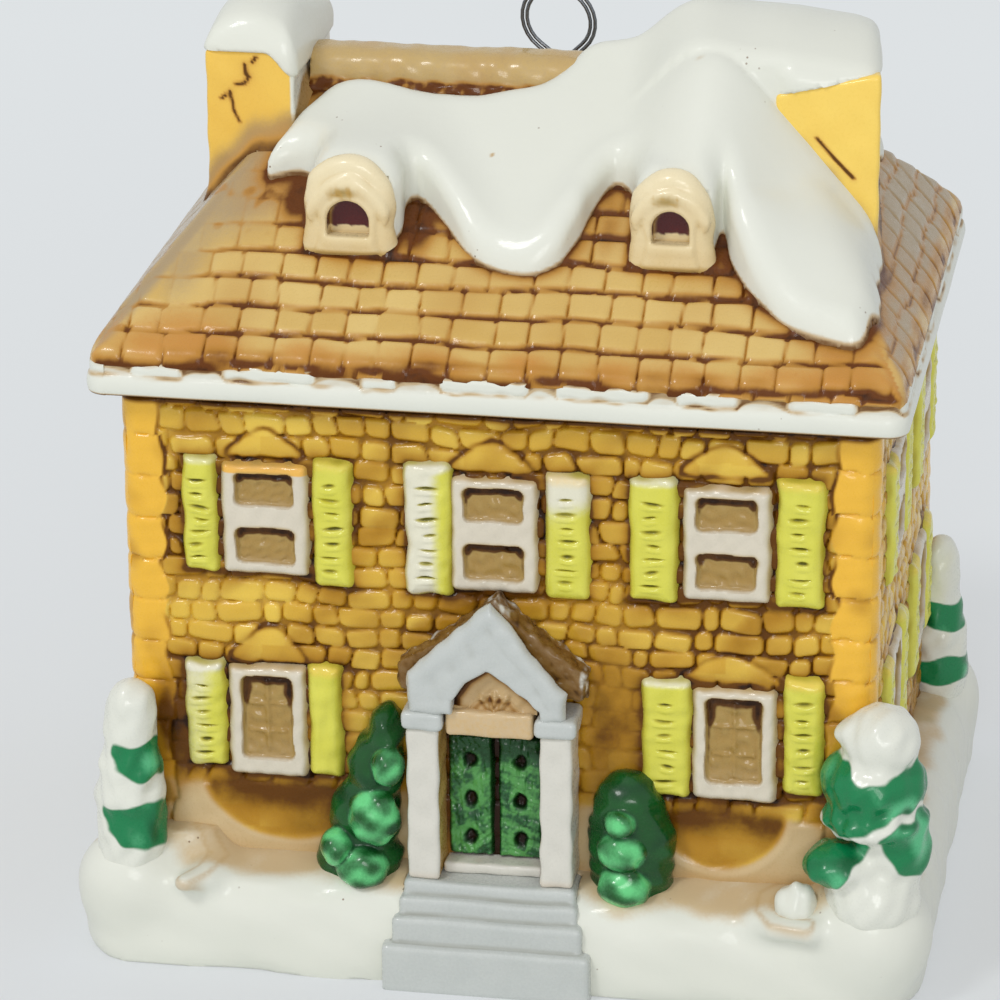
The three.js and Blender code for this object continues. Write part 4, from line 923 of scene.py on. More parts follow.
def roof_eaves():
    """White board under the shingles: cream pads between brown arcs, over a smooth round band, with painted
    shadow above the arcs and at its top, and painted shade along its near-black foot.
    """
    halves = (roof_half_width - rim_radius, roof_half_depth - rim_radius)
    spots = []
    for turn, (along, out) in enumerate([halves, halves[::-1]] * 2):
        angle = turn * QUARTER_TURN
        spots += [(t, -out, 0, angle) for t in np.arange(-along, along, 0.16)]
        spots += [(along, -out, bend, angle) for bend in np.arange(0, QUARTER_TURN, 0.11)]
    along, out, bend, angle = np.array(spots).T
    cos, sin = np.cos(angle), np.sin(angle)
    centre = np.stack([cos * along - sin * out, sin * along + cos * out], axis=-1)
    outward = np.stack([np.sin(angle + bend), -np.cos(angle + bend)], axis=-1)
    steps = np.linalg.norm(np.diff(centre + rim_radius * outward, axis=0), axis=1)
    run = np.concatenate([[0], np.cumsum(steps)])
    s, z = np.meshgrid(run, np.linspace(0, 3.2, 26), indexing="ij")
    sway = 0.12 * wander(9, 71, s, z)
    band = 0.42 * np.sqrt(unit(1 - ((z - 0.85 - sway) / 0.95) ** 2))
    long = 8.4
    place = s / long + 0.2 * wander(14, 73, s, 0 * z)
    k = np.floor(place).astype(int)
    within = (place - k) * long
    repeat = 128
    draw = np.random.default_rng(79).uniform(-1, 1, repeat)[np.mod(k, repeat)]
    start, end = 1.9 + 0.8 * draw, long - 1.9 - 0.7 * draw
    pad = rectangle(within, z + 0.12 * draw, start, 1.75, end, 2.7, 0.45) + 0.12 * wander(1.9, 78, s, z)
    off_pad = ease(pad / 0.25)
    between = np.where(within < start, within + long - end, within - end)
    between = unit(between / (long - end + start))
    arch = z - 1.85 - 0.6 * np.sin(math.pi * between) ** 0.6 - 0.1 * wander(2.2, 80, s, 0 * z)
    # Above each arc, under the shingles' rims: painted shadow; a faint wash inside the arc
    shadow_over_arc = 0.8 * ease(arch / 0.25) * off_pad + 0.16 * ease(-arch / 0.1) * ease((z - 1.65) / 0.2)
    shadow_over_arc = shadow_over_arc * (1 + 0.4 * wander(1.5, 77, s, z))
    off = band + 0.16 * ease(0.35 - pad / 0.45) - 0.22 * ease((z - 2.8) / 0.4) - 0.12
    off = off - 0.55 * ease((0.2 - z) / 0.4)
    stain = unit(0.4 + wander(5, 74, s, z))
    wash = 0.5 * bell(z - 1.75 - sway, 0.16) * unit(wander(3, 75, s, z)) + shadow_over_arc
    wash = wash + bell(arch, 0.14) * off_pad * (0.5 + 0.5 * stain) + 0.3 * bell(pad, 0.24) * stain
    # A brown band at the top is painted shadow under the shingles, and the near-black foot is painted shade
    # under the board
    wash = wash + 0.9 * ease((z - 2.65 - 0.12 * wander(2, 76, s, 0 * z)) / 0.3) + 1.9 * ease(0.95 - z / 0.38)
    reach = rim_radius + off
    across = [centre[:, None, a] + outward[:, None, a] * reach for a in (0, 1)]
    ring = np.stack([*across, eaves + 0.02 + z], axis=-1)
    inner = [
        np.stack([*(centre + outward * (rim_radius - 4)).T, np.full(len(run), level)], axis=-1)[:, None]
        for level in (eaves + 0.02, eaves + 3.0)
    ]
    columns = np.concatenate([inner[0], ring, inner[1]], axis=1)
    number = np.arange(columns[..., 0].size).reshape(columns.shape[:2])
    ahead, beside = np.roll(number, -1, axis=0), np.roll(number, -1, axis=1)
    faces = np.stack([number, ahead, np.roll(ahead, -1, axis=1), beside], axis=-1).reshape(-1, 4)
    marks = {"wash": np.pad(np.clip(wash, 0, 1.9), ((0, 0), (1, 1))).ravel(), "tone": 0.5, "paint": 0.0}
    add_piece("roof_eaves", "roof_shell", snow_glaze, columns.reshape(-1, 3), faces, marks)


roof_shingles()
roof_eaves()


# Snow over the ridge and the right chimney
chimney_half_depth = 7
(right_inner, _, _), (right_outer, _, right_top) = node_box("chimney_right")
(left_outer, _, _), (left_inner, _, left_top) = node_box("chimney_left")
side_lean = 0.165


def leaned(x, y):
    """x as it would be without the right chimney's lean inwards towards the back."""
    share = unit((x - right_inner) / (right_outer - right_inner))
    return x + side_lean * np.clip(y + chimney_half_depth, 0, 2 * chimney_half_depth) * share


def cap_top(x, y):
    """Top of the snow that lies on the right chimney."""
    return 71.3 - 0.13 * (x - right_inner) - 0.042 * y**2


def under_snow(x, y):
    z = roof_height(x, y)
    for middle, half, *_ in DORMERS.values():
        mound = dormer_foot + 5.9 + 0.15 * (y + dormer_face) - 0.05 * (x - middle) ** 2
        mound = mound - 1.3 * np.maximum(0, -dormer_face + 0.7 - y)
        z = -join(-z, -mound, 2.8)
    return z


def softened(heights, reach):
    """Heights on the plan's grid, each one the mean of those within reach."""
    kernel = np.hanning(2 * int(reach / plan_cell) + 3)[1:-1]
    kernel /= kernel.sum()
    for axis in (0, 1):
        heights = np.apply_along_axis(lambda row: np.convolve(row, kernel, "same"), axis, heights)
    return heights


def snow_heights(x, y):
    """Top of the snow on the plan's grid: over the roof, heaped beside the chimney and on it."""
    at_chimney = ease((x - 7) / (right_inner - 8))
    heap = ridge_height - front_slope * np.abs(y) + 1.9 + 3 * bell(x - 16.5, 8) * bell(y, 11)
    drift = 66.5 - 1.17 * (x - 18.8) - 1.05 * np.maximum(0, np.abs(y) - chimney_half_depth)
    over_roof = softened(under_snow(x, y) + 1.7, 3.4)
    heights = softened(np.maximum(over_roof, blend(heap, drift, at_chimney)), 1.4)
    cap_half = chimney_half_depth - 0.3 - 1.5 * (1 - at_chimney)
    cap_round = 1.1 * (1 - quarter((cap_half - np.abs(y)) / 1.1))
    cap = blend(heights, cap_top(x, y) - cap_round, at_chimney)
    on_cap = (np.abs(y) < cap_half) & (at_chimney > 0)
    return np.where(on_cap, np.maximum(cap, heights), heights)


snow_height = snow_heights(*plan_grid)


def snow_field(x, y, z):
    x, y = x + 0 * y, y + 0 * x
    gap = off_snow(x, y) + 0.12 * wander(4, 81, x, y)
    top = (z - on_plan(snow_height, x, y) + 0.1 * wander(9, 83, x, y)) * 0.8
    whole = np.maximum(meet(top, gap * 0.85, 1.5), (roof_height(x, y) - 0.3 - z) * 0.8)
    for middle, half, *_ in DORMERS.values():
        low = (middle - half + 0.4, -dormer_face - 2, 40)
        high = (middle + half - 0.4, -dormer_face + 1.3, dormer_foot + 6)
        whole = np.maximum(whole, -brick(x, y, z, low, high, 0.2))
    return whole


def snow_blanket(x, y, z):
    straight_x = leaned(x, y)
    out = chimney_half_depth + 0.25 - 0.7 * ease((right_inner + 0.7 - x) / 2)
    sides = np.maximum(straight_x - right_outer - 0.15, np.abs(y) - out)
    sides = np.maximum(sides, right_inner - 1.3 - x)
    face_top = right_top + 0.5 - 0.24 * (right_outer - x) - 1.8 * np.maximum(right_inner - 1 - x, 0)
    loaf = np.maximum(meet(z - cap_top(x, y) + 0.1, sides, 1.2), (face_top - z) * 0.9)
    low = (right_outer - 0.3, -chimney_half_depth, eaves)
    high = (right_outer + 4, chimney_half_depth, right_top + 0.2)
    return join(carve(snow_field(x, y, z), brick(straight_x, y, z, low, high, 0.1), 0.2), loaf, 0.5)


def snow_paint(points, crease):
    x, y, z = points.T
    low_edge = unit(1 - (z - roof_height(x, y) - 0.15) / 0.35) * (off_snow(x, y) > -1.2)
    spots = pool(x, y, [(13.2, -6.5, 0.4, 0.25, 0.25), (-2.4, -9, 0.13, 0.12, 1.0)])
    return {"wash": unit(0.9 * low_edge + spots)}


blob(
    "snow_blanket_heap", "snow_blanket", snow_glaze, snow_blanket,
    (-21.5, -21.8, 47.5), (29.5, 17, 73.2), 0.28, snow_paint,
)


# Chimneys, the loaf of snow on the left one, ridge roll and dormers
def chimney_field(low_x, high_x, top, straight, slant):
    def field(x, y, z):
        low, high = (low_x, -chimney_half_depth, eaves), (high_x, chimney_half_depth, top)
        shaft = brick(straight(x, y), y, z + slant * (high_x - x), low, high, 0.35)
        shaft = shaft + 0.05 * wander(2.2, 87, x, y, z)
        roof = roof_height(x, y)
        foot = np.clip(1.6 - (z - roof), 0, 3) ** 2 * 0.22
        return np.maximum(shaft - foot, (roof - 0.4 - z) * 0.7)

    return field


def cracks(x, z, lines, width):
    return sum(bell(strip(x, z, line), width) for line in lines)


LEFT_CRACKS = [
    [(-21.0, 68.0), (-21.3, 67.6)], [(-21.9, 67.4), (-21.8, 66.6)], [(-23.8, 64.6), (-23.4, 64.9)],
    [(-21.6, 66.4), (-21.9, 65.9), (-22.6, 65.8)], [(-23.1, 65.2), (-22.8, 63.6), (-22.4, 62.8)],
]
RIGHT_CRACKS = [[(22.2, 63.6), (23.6, 62.0), (25.0, 60.6)]]


def chimney_paint(lines, white_side):
    def paint(points, crease):
        x, y, z = points.T
        front = y < -chimney_half_depth + 0.3
        over_roof = z - roof_height(x, y) + 0.5 * wander(4, 88, x, y, z)
        # Tan paint and wash that grow towards the roof, darkest at the foot: painted shade where the stack
        # meets the roof
        foot_shade = ease((4.2 - over_roof) / 4.2)
        wash = 0.03 + 0.06 * wander(4, 89, x, y, z) + 0.3 * foot_shade * foot_shade
        wash = wash + 0.6 * ease((1.0 - over_roof) / 1.2)
        wash = wash + (1.1 * cracks(x, z, lines, 0.12) + 0.15 * cracks(x, z, lines, 0.4)) * front
        snowy = white_side * ease((x - left_inner + 0.4) / 0.35)
        smudge = 0.55 * pool(y, z, [(2.5, 66.9, 1.2, 1.1, 1)]) * white_side * (x > left_inner - 0.3)
        wash = np.clip(wash * (1 - 0.8 * snowy) + smudge, 0, 1.1)
        trim = snowy * ease((over_roof - 0.6) / 2)
        return {"wash": wash, "tone": 1.05 - 0.6 * white_side, "paint": foot_shade, "trim": trim}

    return paint


for name, low_x, high_x, top, lines, white_side, straight, slant in (
    ("left", left_outer, left_inner, left_top - 0.25, LEFT_CRACKS, 1, lambda x, y: x, 0),
    ("right", right_inner - 0.8, right_outer, right_top + 0.6, RIGHT_CRACKS, 0, leaned, 0.24),
):
    low = (low_x - 2, -chimney_half_depth - 2, fascia_top)
    high = (high_x + 2, chimney_half_depth + 2, top + 0.8)
    field = chimney_field(low_x, high_x, top, straight, slant)
    cell = 0.2
    paint = chimney_paint(lines, white_side)
    blob(f"chimney_{name}_stack", f"chimney_{name}", brick_glaze, field, low, high, cell, paint)


def left_cap_field(x, y, z):
    middle = (left_outer + left_inner) / 2
    foot = left_top - 0.3 - 1.9 * ease((x - middle - 1.2) / 2.4)
    wide = np.abs(x - middle) / (middle - left_outer + 0.4)
    from_crest = y + 2.8
    front = np.clip(1 - (from_crest / 5) ** 2, 0.02, 1) ** 0.7
    back = np.clip(1 - 0.115 * (np.hypot(from_crest, 1.4) - 1.4), 0.05, 1)
    round_off = np.clip(1 - wide**2, 0.02, 1) ** 0.75
    top = left_top + 0.7 + 2.6 * round_off * np.where(from_crest < 0, front, back)
    half = chimney_half_depth + 0.4
    sides = rectangle(x, y, left_outer - 0.35, -half, left_inner + 0.4, half, 0.9)
    dome = meet((z - top) * 0.75, sides, 1.5) + 0.05 * wander(5, 91, x, y, z)
    return meet(dome, (foot - z) * 0.8, 0.25)


blob(
    "chimney_left_cap", "chimney_snow_left", snow_glaze, left_cap_field,
    (left_outer - 1, -8.2, left_top - 4), (left_inner + 2.2, 8.2, left_top + 4.8), 0.3,
    lambda points, crease: {"wash": 0},
)


def ridge_field(x, y, z):
    foot = ridge_height - 1.9 + 0.15 * wander(9, 95, x, y, z)
    rise = np.maximum(z - foot, 0) / 2.9
    roll = ((np.abs(y) / 2.35) ** 3 + rise**3) ** (1 / 3) * 2.4 - 2.4
    roll = roll - 0.05 * wander(2.5, 96, x, y, z)
    skirt = np.hypot(np.abs(y) - 2.35, z - foot + 0.1) - 0.5 - 0.12 * wander(1.2, 98, x, y, z)
    whole = np.maximum(join(roll, skirt, 0.5), np.maximum(ridge_low[0] - x, x - ridge_high[0]))
    return np.maximum(whole, (ridge_height - front_slope * np.abs(y) - 0.3 - z) * 0.8)


def ridge_paint(points, crease):
    x, y, z = points.T
    # A dark red-brown band along the roll's foot: brown wash with painted shade where it meets the roof
    low = ease((ridge_height - 0.9 - z + 0.25 * wander(2.5, 99, x, y, z)) / 0.5)
    wash = 0.85 * low * (1 + 0.5 * wander(0.9, 97, x, y, z)) + np.clip(crease * 1.5, 0, 0.4)
    wash = wash + 0.1 + 0.12 * wander(4, 94, x, y, z)
    return {"wash": np.clip(wash, 0, 1.1), "tone": 0.6, "paint": 0.5, "trim": 0.3 * low}


blob(
    "ridge_roll", "ridge_cap", shingle_glaze, ridge_field, (ridge_low[0] - 0.6, -3.6, ridge_height - 4),
    (ridge_high[0] + 0.6, 3.6, ridge_high[2] + 0.5), 0.22, ridge_paint,
)


def dormer_window(x, z, middle, half, arch):
    spring = dormer_foot + arch
    straight = np.maximum(np.abs(x - middle) - half, spring - 1.25 - z)
    return np.where(z > spring, np.hypot(x - middle, z - spring) - half, straight)


def dormer_field(middle, half, glass_half, arch):
    rises = [(0.1, -1), (0.05, 2), (-0.1, 4.6), (0.32 * half, 6.8)]
    left = [(middle - half + inset, dormer_foot + rise) for inset, rise in rises]
    right = [(middle + half - inset, dormer_foot + rise) for inset, rise in rises]
    outline = smooth_loop([left[0], *right, (middle + 0.1, dormer_foot + 7.8), *left[:0:-1]])
    sill_top = dormer_foot + arch - 1.2
    sill_low = (middle - glass_half - 0.3, -dormer_face - 0.2, sill_top - 0.8)
    sill_high = (middle + glass_half + 0.3, -dormer_face + 1, sill_top)

    def field(x, y, z):
        plan = polygon(x + 0 * z, z + 0 * x, outline) + 0.12 * wander(3, 101, x, y, z)
        face = -dormer_face - y
        plan = plan + 0.4 * np.maximum(0, -face - 1)
        body = meet(plan + 0.2, face + 0.25 * ease((plan + 1.6) / 0.5), 0.8) - 0.2
        window = dormer_window(x, z, middle, glass_half, arch)
        brow = meet(np.abs(window - 1.25) - 0.4, np.abs(y + dormer_face) - 0.32, 0.3)
        brow = brow + 0.7 * ease((dormer_foot + arch + 1.0 - z) / 2)
        pocket = np.maximum(window, y - (-dormer_face + 1.1))
        whole = carve(join(body, brow, 0.5), pocket, 0.3)
        whole = join(whole, brick(x, y, z, sill_low, sill_high, 0.3), 0.3)
        return np.maximum(whole, (roof_height(x, y) - 0.4 - z) * 0.7)

    return field


def dormer_paint(middle, half, glass_half, arch):
    def paint(points, crease):
        x, y, z = points.T
        deep = ease((y + dormer_face - 0.05) / 0.3) * (dormer_window(x, z, middle, glass_half, arch) < 0.3)
        deep = deep * ease((z - dormer_foot - arch + 0.85 + 0.15 * wander(0.8, 104, x, y, z)) / 0.3)
        over_arch = [(middle - 0.3, dormer_foot + arch + 2.3, 1.3, 0.6, 1)]
        smudge = pool(x, z, over_arch) * (y < -dormer_face + 0.6)
        grain = unit(0.3 + rough(0.9, 103, x, y, z))
        low = 0.5 * ease((dormer_foot + 0.6 - z) / 0.6)
        wash = unit(np.clip(crease * 1.1, 0, 0.5) + low + 0.7 * smudge * grain)
        return {"wash": wash, "tone": 0.3 + 0.12 * (z - dormer_foot), "paint": deep, "trim": smudge * 0.7}

    return paint


for name, dormer in DORMERS.items():
    middle, half = dormer[:2]
    low = (middle - half - 0.8, -dormer_face - 0.8, dormer_foot - 1.6)
    high = (middle + half + 0.8, -2, dormer_foot + 8.8)
    blob(f"{name}_gable", name, dormer_glaze, dormer_field(*dormer), low, high, 0.2, dormer_paint(*dormer))


# Ground, steps and porch
ground_low, ground_high = node_box("ground_base")
belly = 2.2
margin_side = ground_high[0] - side_face
margin_front = -ground_low[1] - front_face
margin_back = ground_high[1] - front_face
# Raised lines on the ground with their heights, and mounds under the trees with their radii
GROUND_RIDGES = [
    ([(-23.2, -22.6), (-21.6, -24.2), (-22.4, -26.2), (-23.6, -27.6)], 7.6),
    ([(22.4, -22.6), (21.2, -24.0), (21.2, -25.6), (22.2, -26.9), (24.6, -27.4)], 7.1),
]
TREE_MOUNDS = [
    ((-29.0, -24.1, 6.4), (3.3, 3.1, 3.2)), ((29.3, -23.8, 6.2), (4.3, 3.8, 4.0)),
    ((29.6, 21.2, 6.4), (3.3, 3.1, 3.2)), ((-29.6, 21.2, 6.4), (3.3, 3.1, 3.2)),
]


def ground_field(x, y, z):
    out_x = np.maximum(np.abs(x) - side_face + 3, 0) / (margin_side + 3)
    out_y = np.maximum(np.abs(y) - front_face + 3, 0) / (np.where(y < 0, margin_front, margin_back) + 3)
    out = (out_x**3 + out_y**3) ** (1 / 3)
    rise = np.maximum(z - belly, 0) / (ground_top - belly)
    sunk = np.maximum(belly - z, 0) / 4.5
    body = ((out**4 + rise**2.6 + sunk**2.5) ** (1 / 3) - 1) * 4.2
    body = body + 0.16 * wander(9, 111, x, y, z) + 0.05 * wander(3.5, 112, x, y, z)
    for sign in (-1, 1):
        body = carve(body, ball(x, y, z, (sign * 18, -25.4, 10.6), (5.5, 3.2, 2.6)), 1.0)
    body = join(body, ball(x, y, z, (-24.6, -21.6, 7.8), (2.6, 2.2, 5.2)), 2.0)
    for middle, radii in TREE_MOUNDS:
        body = join(body, ball(x, y, z, middle, radii), 2.4)
    for line, height in GROUND_RIDGES:
        body = join(body, np.hypot(strip(x, y, line), (z - height) * 1.2) - 0.5, 2.2)
    cavity = brick(x, y, z, (-26.4, -19.4, 2.6), (26.4, 19.4, 12), 0.5)
    hole = np.maximum(np.hypot(x, y) - 5, z - 4)
    stairs = brick(x, y, z, (-6.7, -30, -2), (6.7, -front_face - 0.5, 8.6), 0.1)
    whole = np.maximum(np.maximum(body, -z), -cavity)
    return np.maximum(np.maximum(whole, -hole), -stairs)


def ground_paint(points, crease):
    x, y, z = points.T
    near = rectangle(x, y, -side_face, -front_face, side_face, front_face, 1.6)
    wash = 0.3 * tail(near, 0.5) * ease((z - 5.2) / 2)
    reach = 2.5 + 0.9 * wander(7, 115, x, y) + ease((-front_face + 1 - y) / 2)
    tan = ease((reach + 1.3 - near) / 2.4) * ease((z - 5.4) / 1.6)
    for line, _ in GROUND_RIDGES:
        wash = wash + 0.32 * bell(strip(x, y, line) - 0.6, 0.26) * ease((z - 6.2) / 1.2)
    speck = pool(x, y, [(-27.9, -28.7, 0.5, 0.6, 0.7)]) * unit(0.6 + wander(0.7, 116, x, y, z))
    wash = wash + speck + np.clip(crease * 0.8, 0, 0.2)
    return {"wash": unit(wash), "paint": unit(tan) * (0.8 + 0.2 * wander(3, 117, x, y, z))}


blob(
    "ground_snow", "ground_base", snow_glaze, ground_field, (ground_low[0] - 1, ground_low[1] - 1, -0.8),
    (ground_high[0] + 1, ground_high[1] + 1, ground_top + 1.5), 0.32, ground_paint,
)

# Height, reach from the wall and half width of each step
STEPS = [(8.4, 4.1, 6.7), (7.3, 4.85, 6.95), (5.9, 5.6, 7.4), (3.8, 6.35, 8.1)]


def joined(parts, soft):
    whole, *rest = parts
    for part in rest:
        whole = join(whole, part, soft)
    return whole


def steps_field(x, y, z):
    uneven_z = z + 0.08 * wander(5, 121, x, y, z)
    treads = [
        brick(x, y, uneven_z, (-half, -front_face - reach, -0.5), (half, -front_face - 0.3, height), 0.42)
        for height, reach, half in STEPS
    ]
    return np.maximum(joined(treads, 0.25), -z)


blob("steps_stone", "porch_steps", grey_glaze, steps_field, (-9, -29.6, -0.5), (9, -21.8, 9), 0.2)


def block_piece(name, node, look, corner=0.35, seed=131, paint=None, grow=0.0):
    low, high = node_box(node)

    def field(x, y, z):
        return brick(x, y, z, low - grow, high + grow, corner) + 0.07 * wander(2.4, seed, x, y, z)

    blob(name, node, look, field, low - 0.5, high + 0.5, 0.16, paint)


def post_paint(wash, paint, side):
    """Washed and painted this much on its inner side."""

    def marks(points, crease):
        x, y, z = points.T
        inner = ease((4.75 - side * x) / 0.5) * (y > -25.4)
        return {"wash": wash * inner + 0.15 * ease((9.6 - z) / 1), "paint": paint * inner}

    return marks


for side, sign, wash, paint in (("left", -1, 0.1, 0.9), ("right", 1, 0.9, 0.4)):
    block_piece(f"post_{side}", f"porch_post_{side}", post_glaze, paint=post_paint(wash, paint, sign))
    block_piece(f"capital_{side}", f"porch_capital_{side}", grey_glaze, 0.4, 140 + sign)
block_piece(
    "porch_lintel_bar", "porch_lintel", post_glaze, seed=151, grow=0.12,
    paint=lambda points, crease: {"paint": 0.6, "wash": np.clip(crease, 0, 0.5)},
)
block_piece("door_threshold", "door_sill", post_glaze, 0.3, 153)

pediment_low, pediment_high = node_box("porch_pediment")
gable_foot = pediment_low[2]
gable_half, _, gable_apex = pediment_high
gable_shoulder = gable_foot + 3.2
PEDIMENT = [
    (-gable_half, gable_foot - 0.4), (gable_half - 0.3, gable_foot - 0.4),
    (gable_half - 0.3, gable_shoulder - 1.1), (0.2, gable_apex + 0.2), (-gable_half, gable_shoulder),
]
OPENING = [
    (u, gable_foot + rise)
    for u, rise in ((-2.8, -2), (4.0, -2), (4.0, 0.7), (2.1, 2.3), (-0.1, 3.7), (-1.7, 2.6), (-2.8, 1.1))
]
PORCH_ROOF = [
    (-gable_half, gable_foot + 0.9), (gable_half, gable_foot + 0.9), (gable_half, gable_shoulder),
    (0.4, gable_apex), (-gable_half, gable_shoulder),
]


def pediment_field(x, y, z):
    plan = polygon(x + 0 * z, z + 0 * x, PEDIMENT) + 0.5 + 0.12 * wander(3, 162, x, 0 * y, z)
    thick = np.abs(y - (pediment_low[1] + pediment_high[1]) / 2) - 0.25
    hole = polygon(x + 0 * z, z + 0 * x, OPENING)
    band = meet(plan, thick + 0.3 * ease((0.9 + plan) / 0.9), 0.55) - 0.5
    roll = np.hypot(plan + 0.3, y - pediment_low[1] - 0.5) - 0.5
    return carve(join(band, roll, 0.5), hole, 0.35) + 0.06 * wander(1.6, 161, x, y, z)


blob(
    "pediment_band", "porch_pediment", grey_glaze, pediment_field,
    pediment_low - 0.8, pediment_high + 0.8, 0.17,
)

gable_low, gable_high = node_box("porch_roof")


def porch_roof_field(x, y, z):
    flare = 1.1 * ease((gable_high[2] - z) / 5)
    plan = polygon(x / (1 + flare / gable_half), z + 0 * x, PORCH_ROOF) + 0.2
    plan = plan + 0.16 * wander(1.3, 163, x, y, z)
    along = np.abs(y - (gable_low[1] + gable_high[1]) / 2) - (gable_high[1] - gable_low[1]) / 2
    return meet(plan, along, 0.4)


def porch_roof_paint(points, crease):
    x, y, z = points.T
    crest = ease((z - gable_apex + 2.2) / 1.6)
    rim = np.maximum(ease((y - gable_high[1] + 0.9) / 0.4), ease((x - gable_half - 0.2) / 0.5))
    # Silver white along the crest and rims is a painted highlight, with silver specks scattered over the roof
    silver_glint = np.maximum(0.9 * crest, 0.8 * rim) * (0.6 + 0.6 * wander(0.8, 165, x, y, z))
    silver_glint = silver_glint + 0.6 * unit(rough(0.8, 167, x, y, z) - 0.4)
    return {"wash": unit(0.35 + 0.5 * rough(1.6, 166, x, y, z)), "paint": unit(silver_glint)}


gable_spare = np.array([1.6, 0.7, 0.7])
blob(
    "porch_roof_tiles", "porch_roof", porch_roof_glaze, porch_roof_field,
    gable_low - gable_spare, gable_high + gable_spare, 0.2, porch_roof_paint,
)

tympanum_low, tympanum_high = node_box("porch_tympanum")


def tympanum_shape(u, v):
    middle = 0.35
    foot = tympanum_low[2]
    edge = polygon(u, v, OPENING)
    height = 0.2 + 0.1 * wander(1.0, 171, u, v)
    # A dark line along the opening's edge: painted shadow under the band
    wash = 0.12 + 1.3 * bell(edge + 0.1, 0.4) * (v > foot + 0.3)
    fan = np.hypot((u - middle) / 1.2, v - foot + 0.4)
    height = height + 0.25 * ease(0.5 - np.abs(fan - 1.75) / 0.3)
    wash = wash + 0.4 * bell(fan - 1.35, 0.16)
    for lean in (-0.75, 0, 0.75):
        tip = (middle + 1.3 * lean, foot + 1.5 - 0.4 * abs(lean))
        petal = strip(u, v, [(middle + 0.25 * lean, foot + 0.1), tip])
        height = height + 0.3 * ease(1 - petal / 0.34)
        wash = wash + 0.35 * bell(petal - 0.36, 0.13) * (fan < 1.6)
    return height, {"wash": wash, "tone": 0.5}


(low_x, _, low_z), (high_x, _, high_z) = tympanum_low, tympanum_high
panel(
    "tympanum_scrolls", "porch_tympanum", panel_glaze, 0, -tympanum_high[1],
    (low_x - 0.2, low_z - 0.1, high_x + 0.6, high_z + 0.3), FRONT_CELL, tympanum_shape, 0,
)


def door_leaf(name, node, turn, cell, seed, spare):
    (low_u, _, low_v), (high_u, _, high_v) = node_box(node)
    if turn:
        low_u, high_u = -high_u, -low_u
    span = (low_u, low_v, high_u, high_v)
    pitch = (high_v - low_v - 0.6) / 3
    middle = (low_u + high_u) / 2

    def shape(u, v):
        edge = rectangle(u, v, *span, 0.25)
        height = -0.6 + 1.4 * quarter(0.1 - edge / 0.4) + 0.14 * rough(1.3, seed, u, v)
        mottle = rough(1.7, seed + 1, u, v)
        light = 0.48 + 0.5 * mottle
        wash = 0.6 * bell(edge + 0.05, 0.2) + 0.3 * unit(-mottle - 0.1)
        ragged = 0.1 * wander(0.9, seed + 2, u, v)
        for k in range(3):
            place = low_v + (k + 0.5) * pitch
            hole = np.hypot((u - middle) / 0.5, (v - place) / 0.62) + ragged
            height = height - 0.45 * ease(1.4 - hole)
            wash = wash + 1.5 * ease(1.35 - hole)
            # A lighter ring round each hole: painted highlight on the raised rim
            light = light + 0.45 * bell(hole - 1.6, 0.3)
        upper = ease((v - high_v + 3.0) / 2)
        light = light * (1 - 0.9 * upper) * (edge < -0.15)
        return height, {"wash": wash + 0.3 * upper, "tone": 0.6, "paint": unit(light)}

    panel(name, node, door_glaze, turn, front_face, span, cell, shape, spare)


door_leaf("leaf_left", "door_left", 0, 0.08, 181, 0.1)
door_leaf("leaf_right", "door_right", 0, 0.08, 185, 0.1)
door_leaf("leaf_back", "back_door", math.pi, 0.12, 189, 0.35)


# Plants
def plant(name, node, tiers, soft, paint, place=None):
    """A tree of tiers that join softly, at this place or in its node's middle."""
    low, high = node_box(node)
    middle_x, middle_y = place or ((low[0] + high[0]) / 2, (low[1] + high[1]) / 2)

    def field(x, y, z):
        balls = [
            ball(x, y, z, (middle_x + dx, middle_y + dy, ground_top + height), (radius, radius, thick))
            for dx, dy, height, radius, thick in tiers
        ]
        return np.maximum(joined(balls, soft) + 0.1 * wander(1.8, 201, x, y, z), 3.0 - z)

    bounds = (middle_x - 5, middle_y - 5, 2.5), (middle_x + 5, middle_y + 5, high[2] + 1.2)
    blob(name, node, tree_glaze, field, *bounds, 0.2, paint)


# Green paint with mint patches, which are painted highlights, and darker wash in creases and patches
def leafy(green, mint_highlight, dark, crease):
    wash = np.clip(crease * 1.2, 0, 0.5) * (0.3 + 0.7 * green) + 0.5 * unit(dark - 0.2) * green
    return {"wash": wash, "paint": green, "trim": 0.7 * unit(mint_highlight) * green}


def banded(bands, seed):
    """Green under each tier of snow: bands of height, with a wavy edge."""

    def paint(points, crease):
        wavy = points[:, 2] - ground_top + 0.4 * wander(4.5, seed, *points.T)
        green = sum(ease((wavy - low) / 0.35) * ease((high - wavy) / 0.35) for low, high in bands)
        return leafy(green, wander(4, seed + 1, *points.T), wander(3.6, seed + 2, *points.T), crease)

    return paint


def front_painted(shapes, seed):
    """Green inside these front-view outlines, each of x and z, at the front and at the back alike."""

    def paint(points, crease):
        u = points[:, 0] + 0.25 * wander(2.4, seed, *points.T)
        v = points[:, 2] + 0.25 * wander(2.4, seed + 1, *points.T)
        green = 0
        for shape in shapes:
            green = np.maximum(green, ease(0.5 - polygon(u, v, smooth_loop(shape)) / 0.6))
        return leafy(green, 0.15 + wander(4.5, seed + 2, *points.T), wander(3.6, seed + 3, *points.T), crease)

    return paint


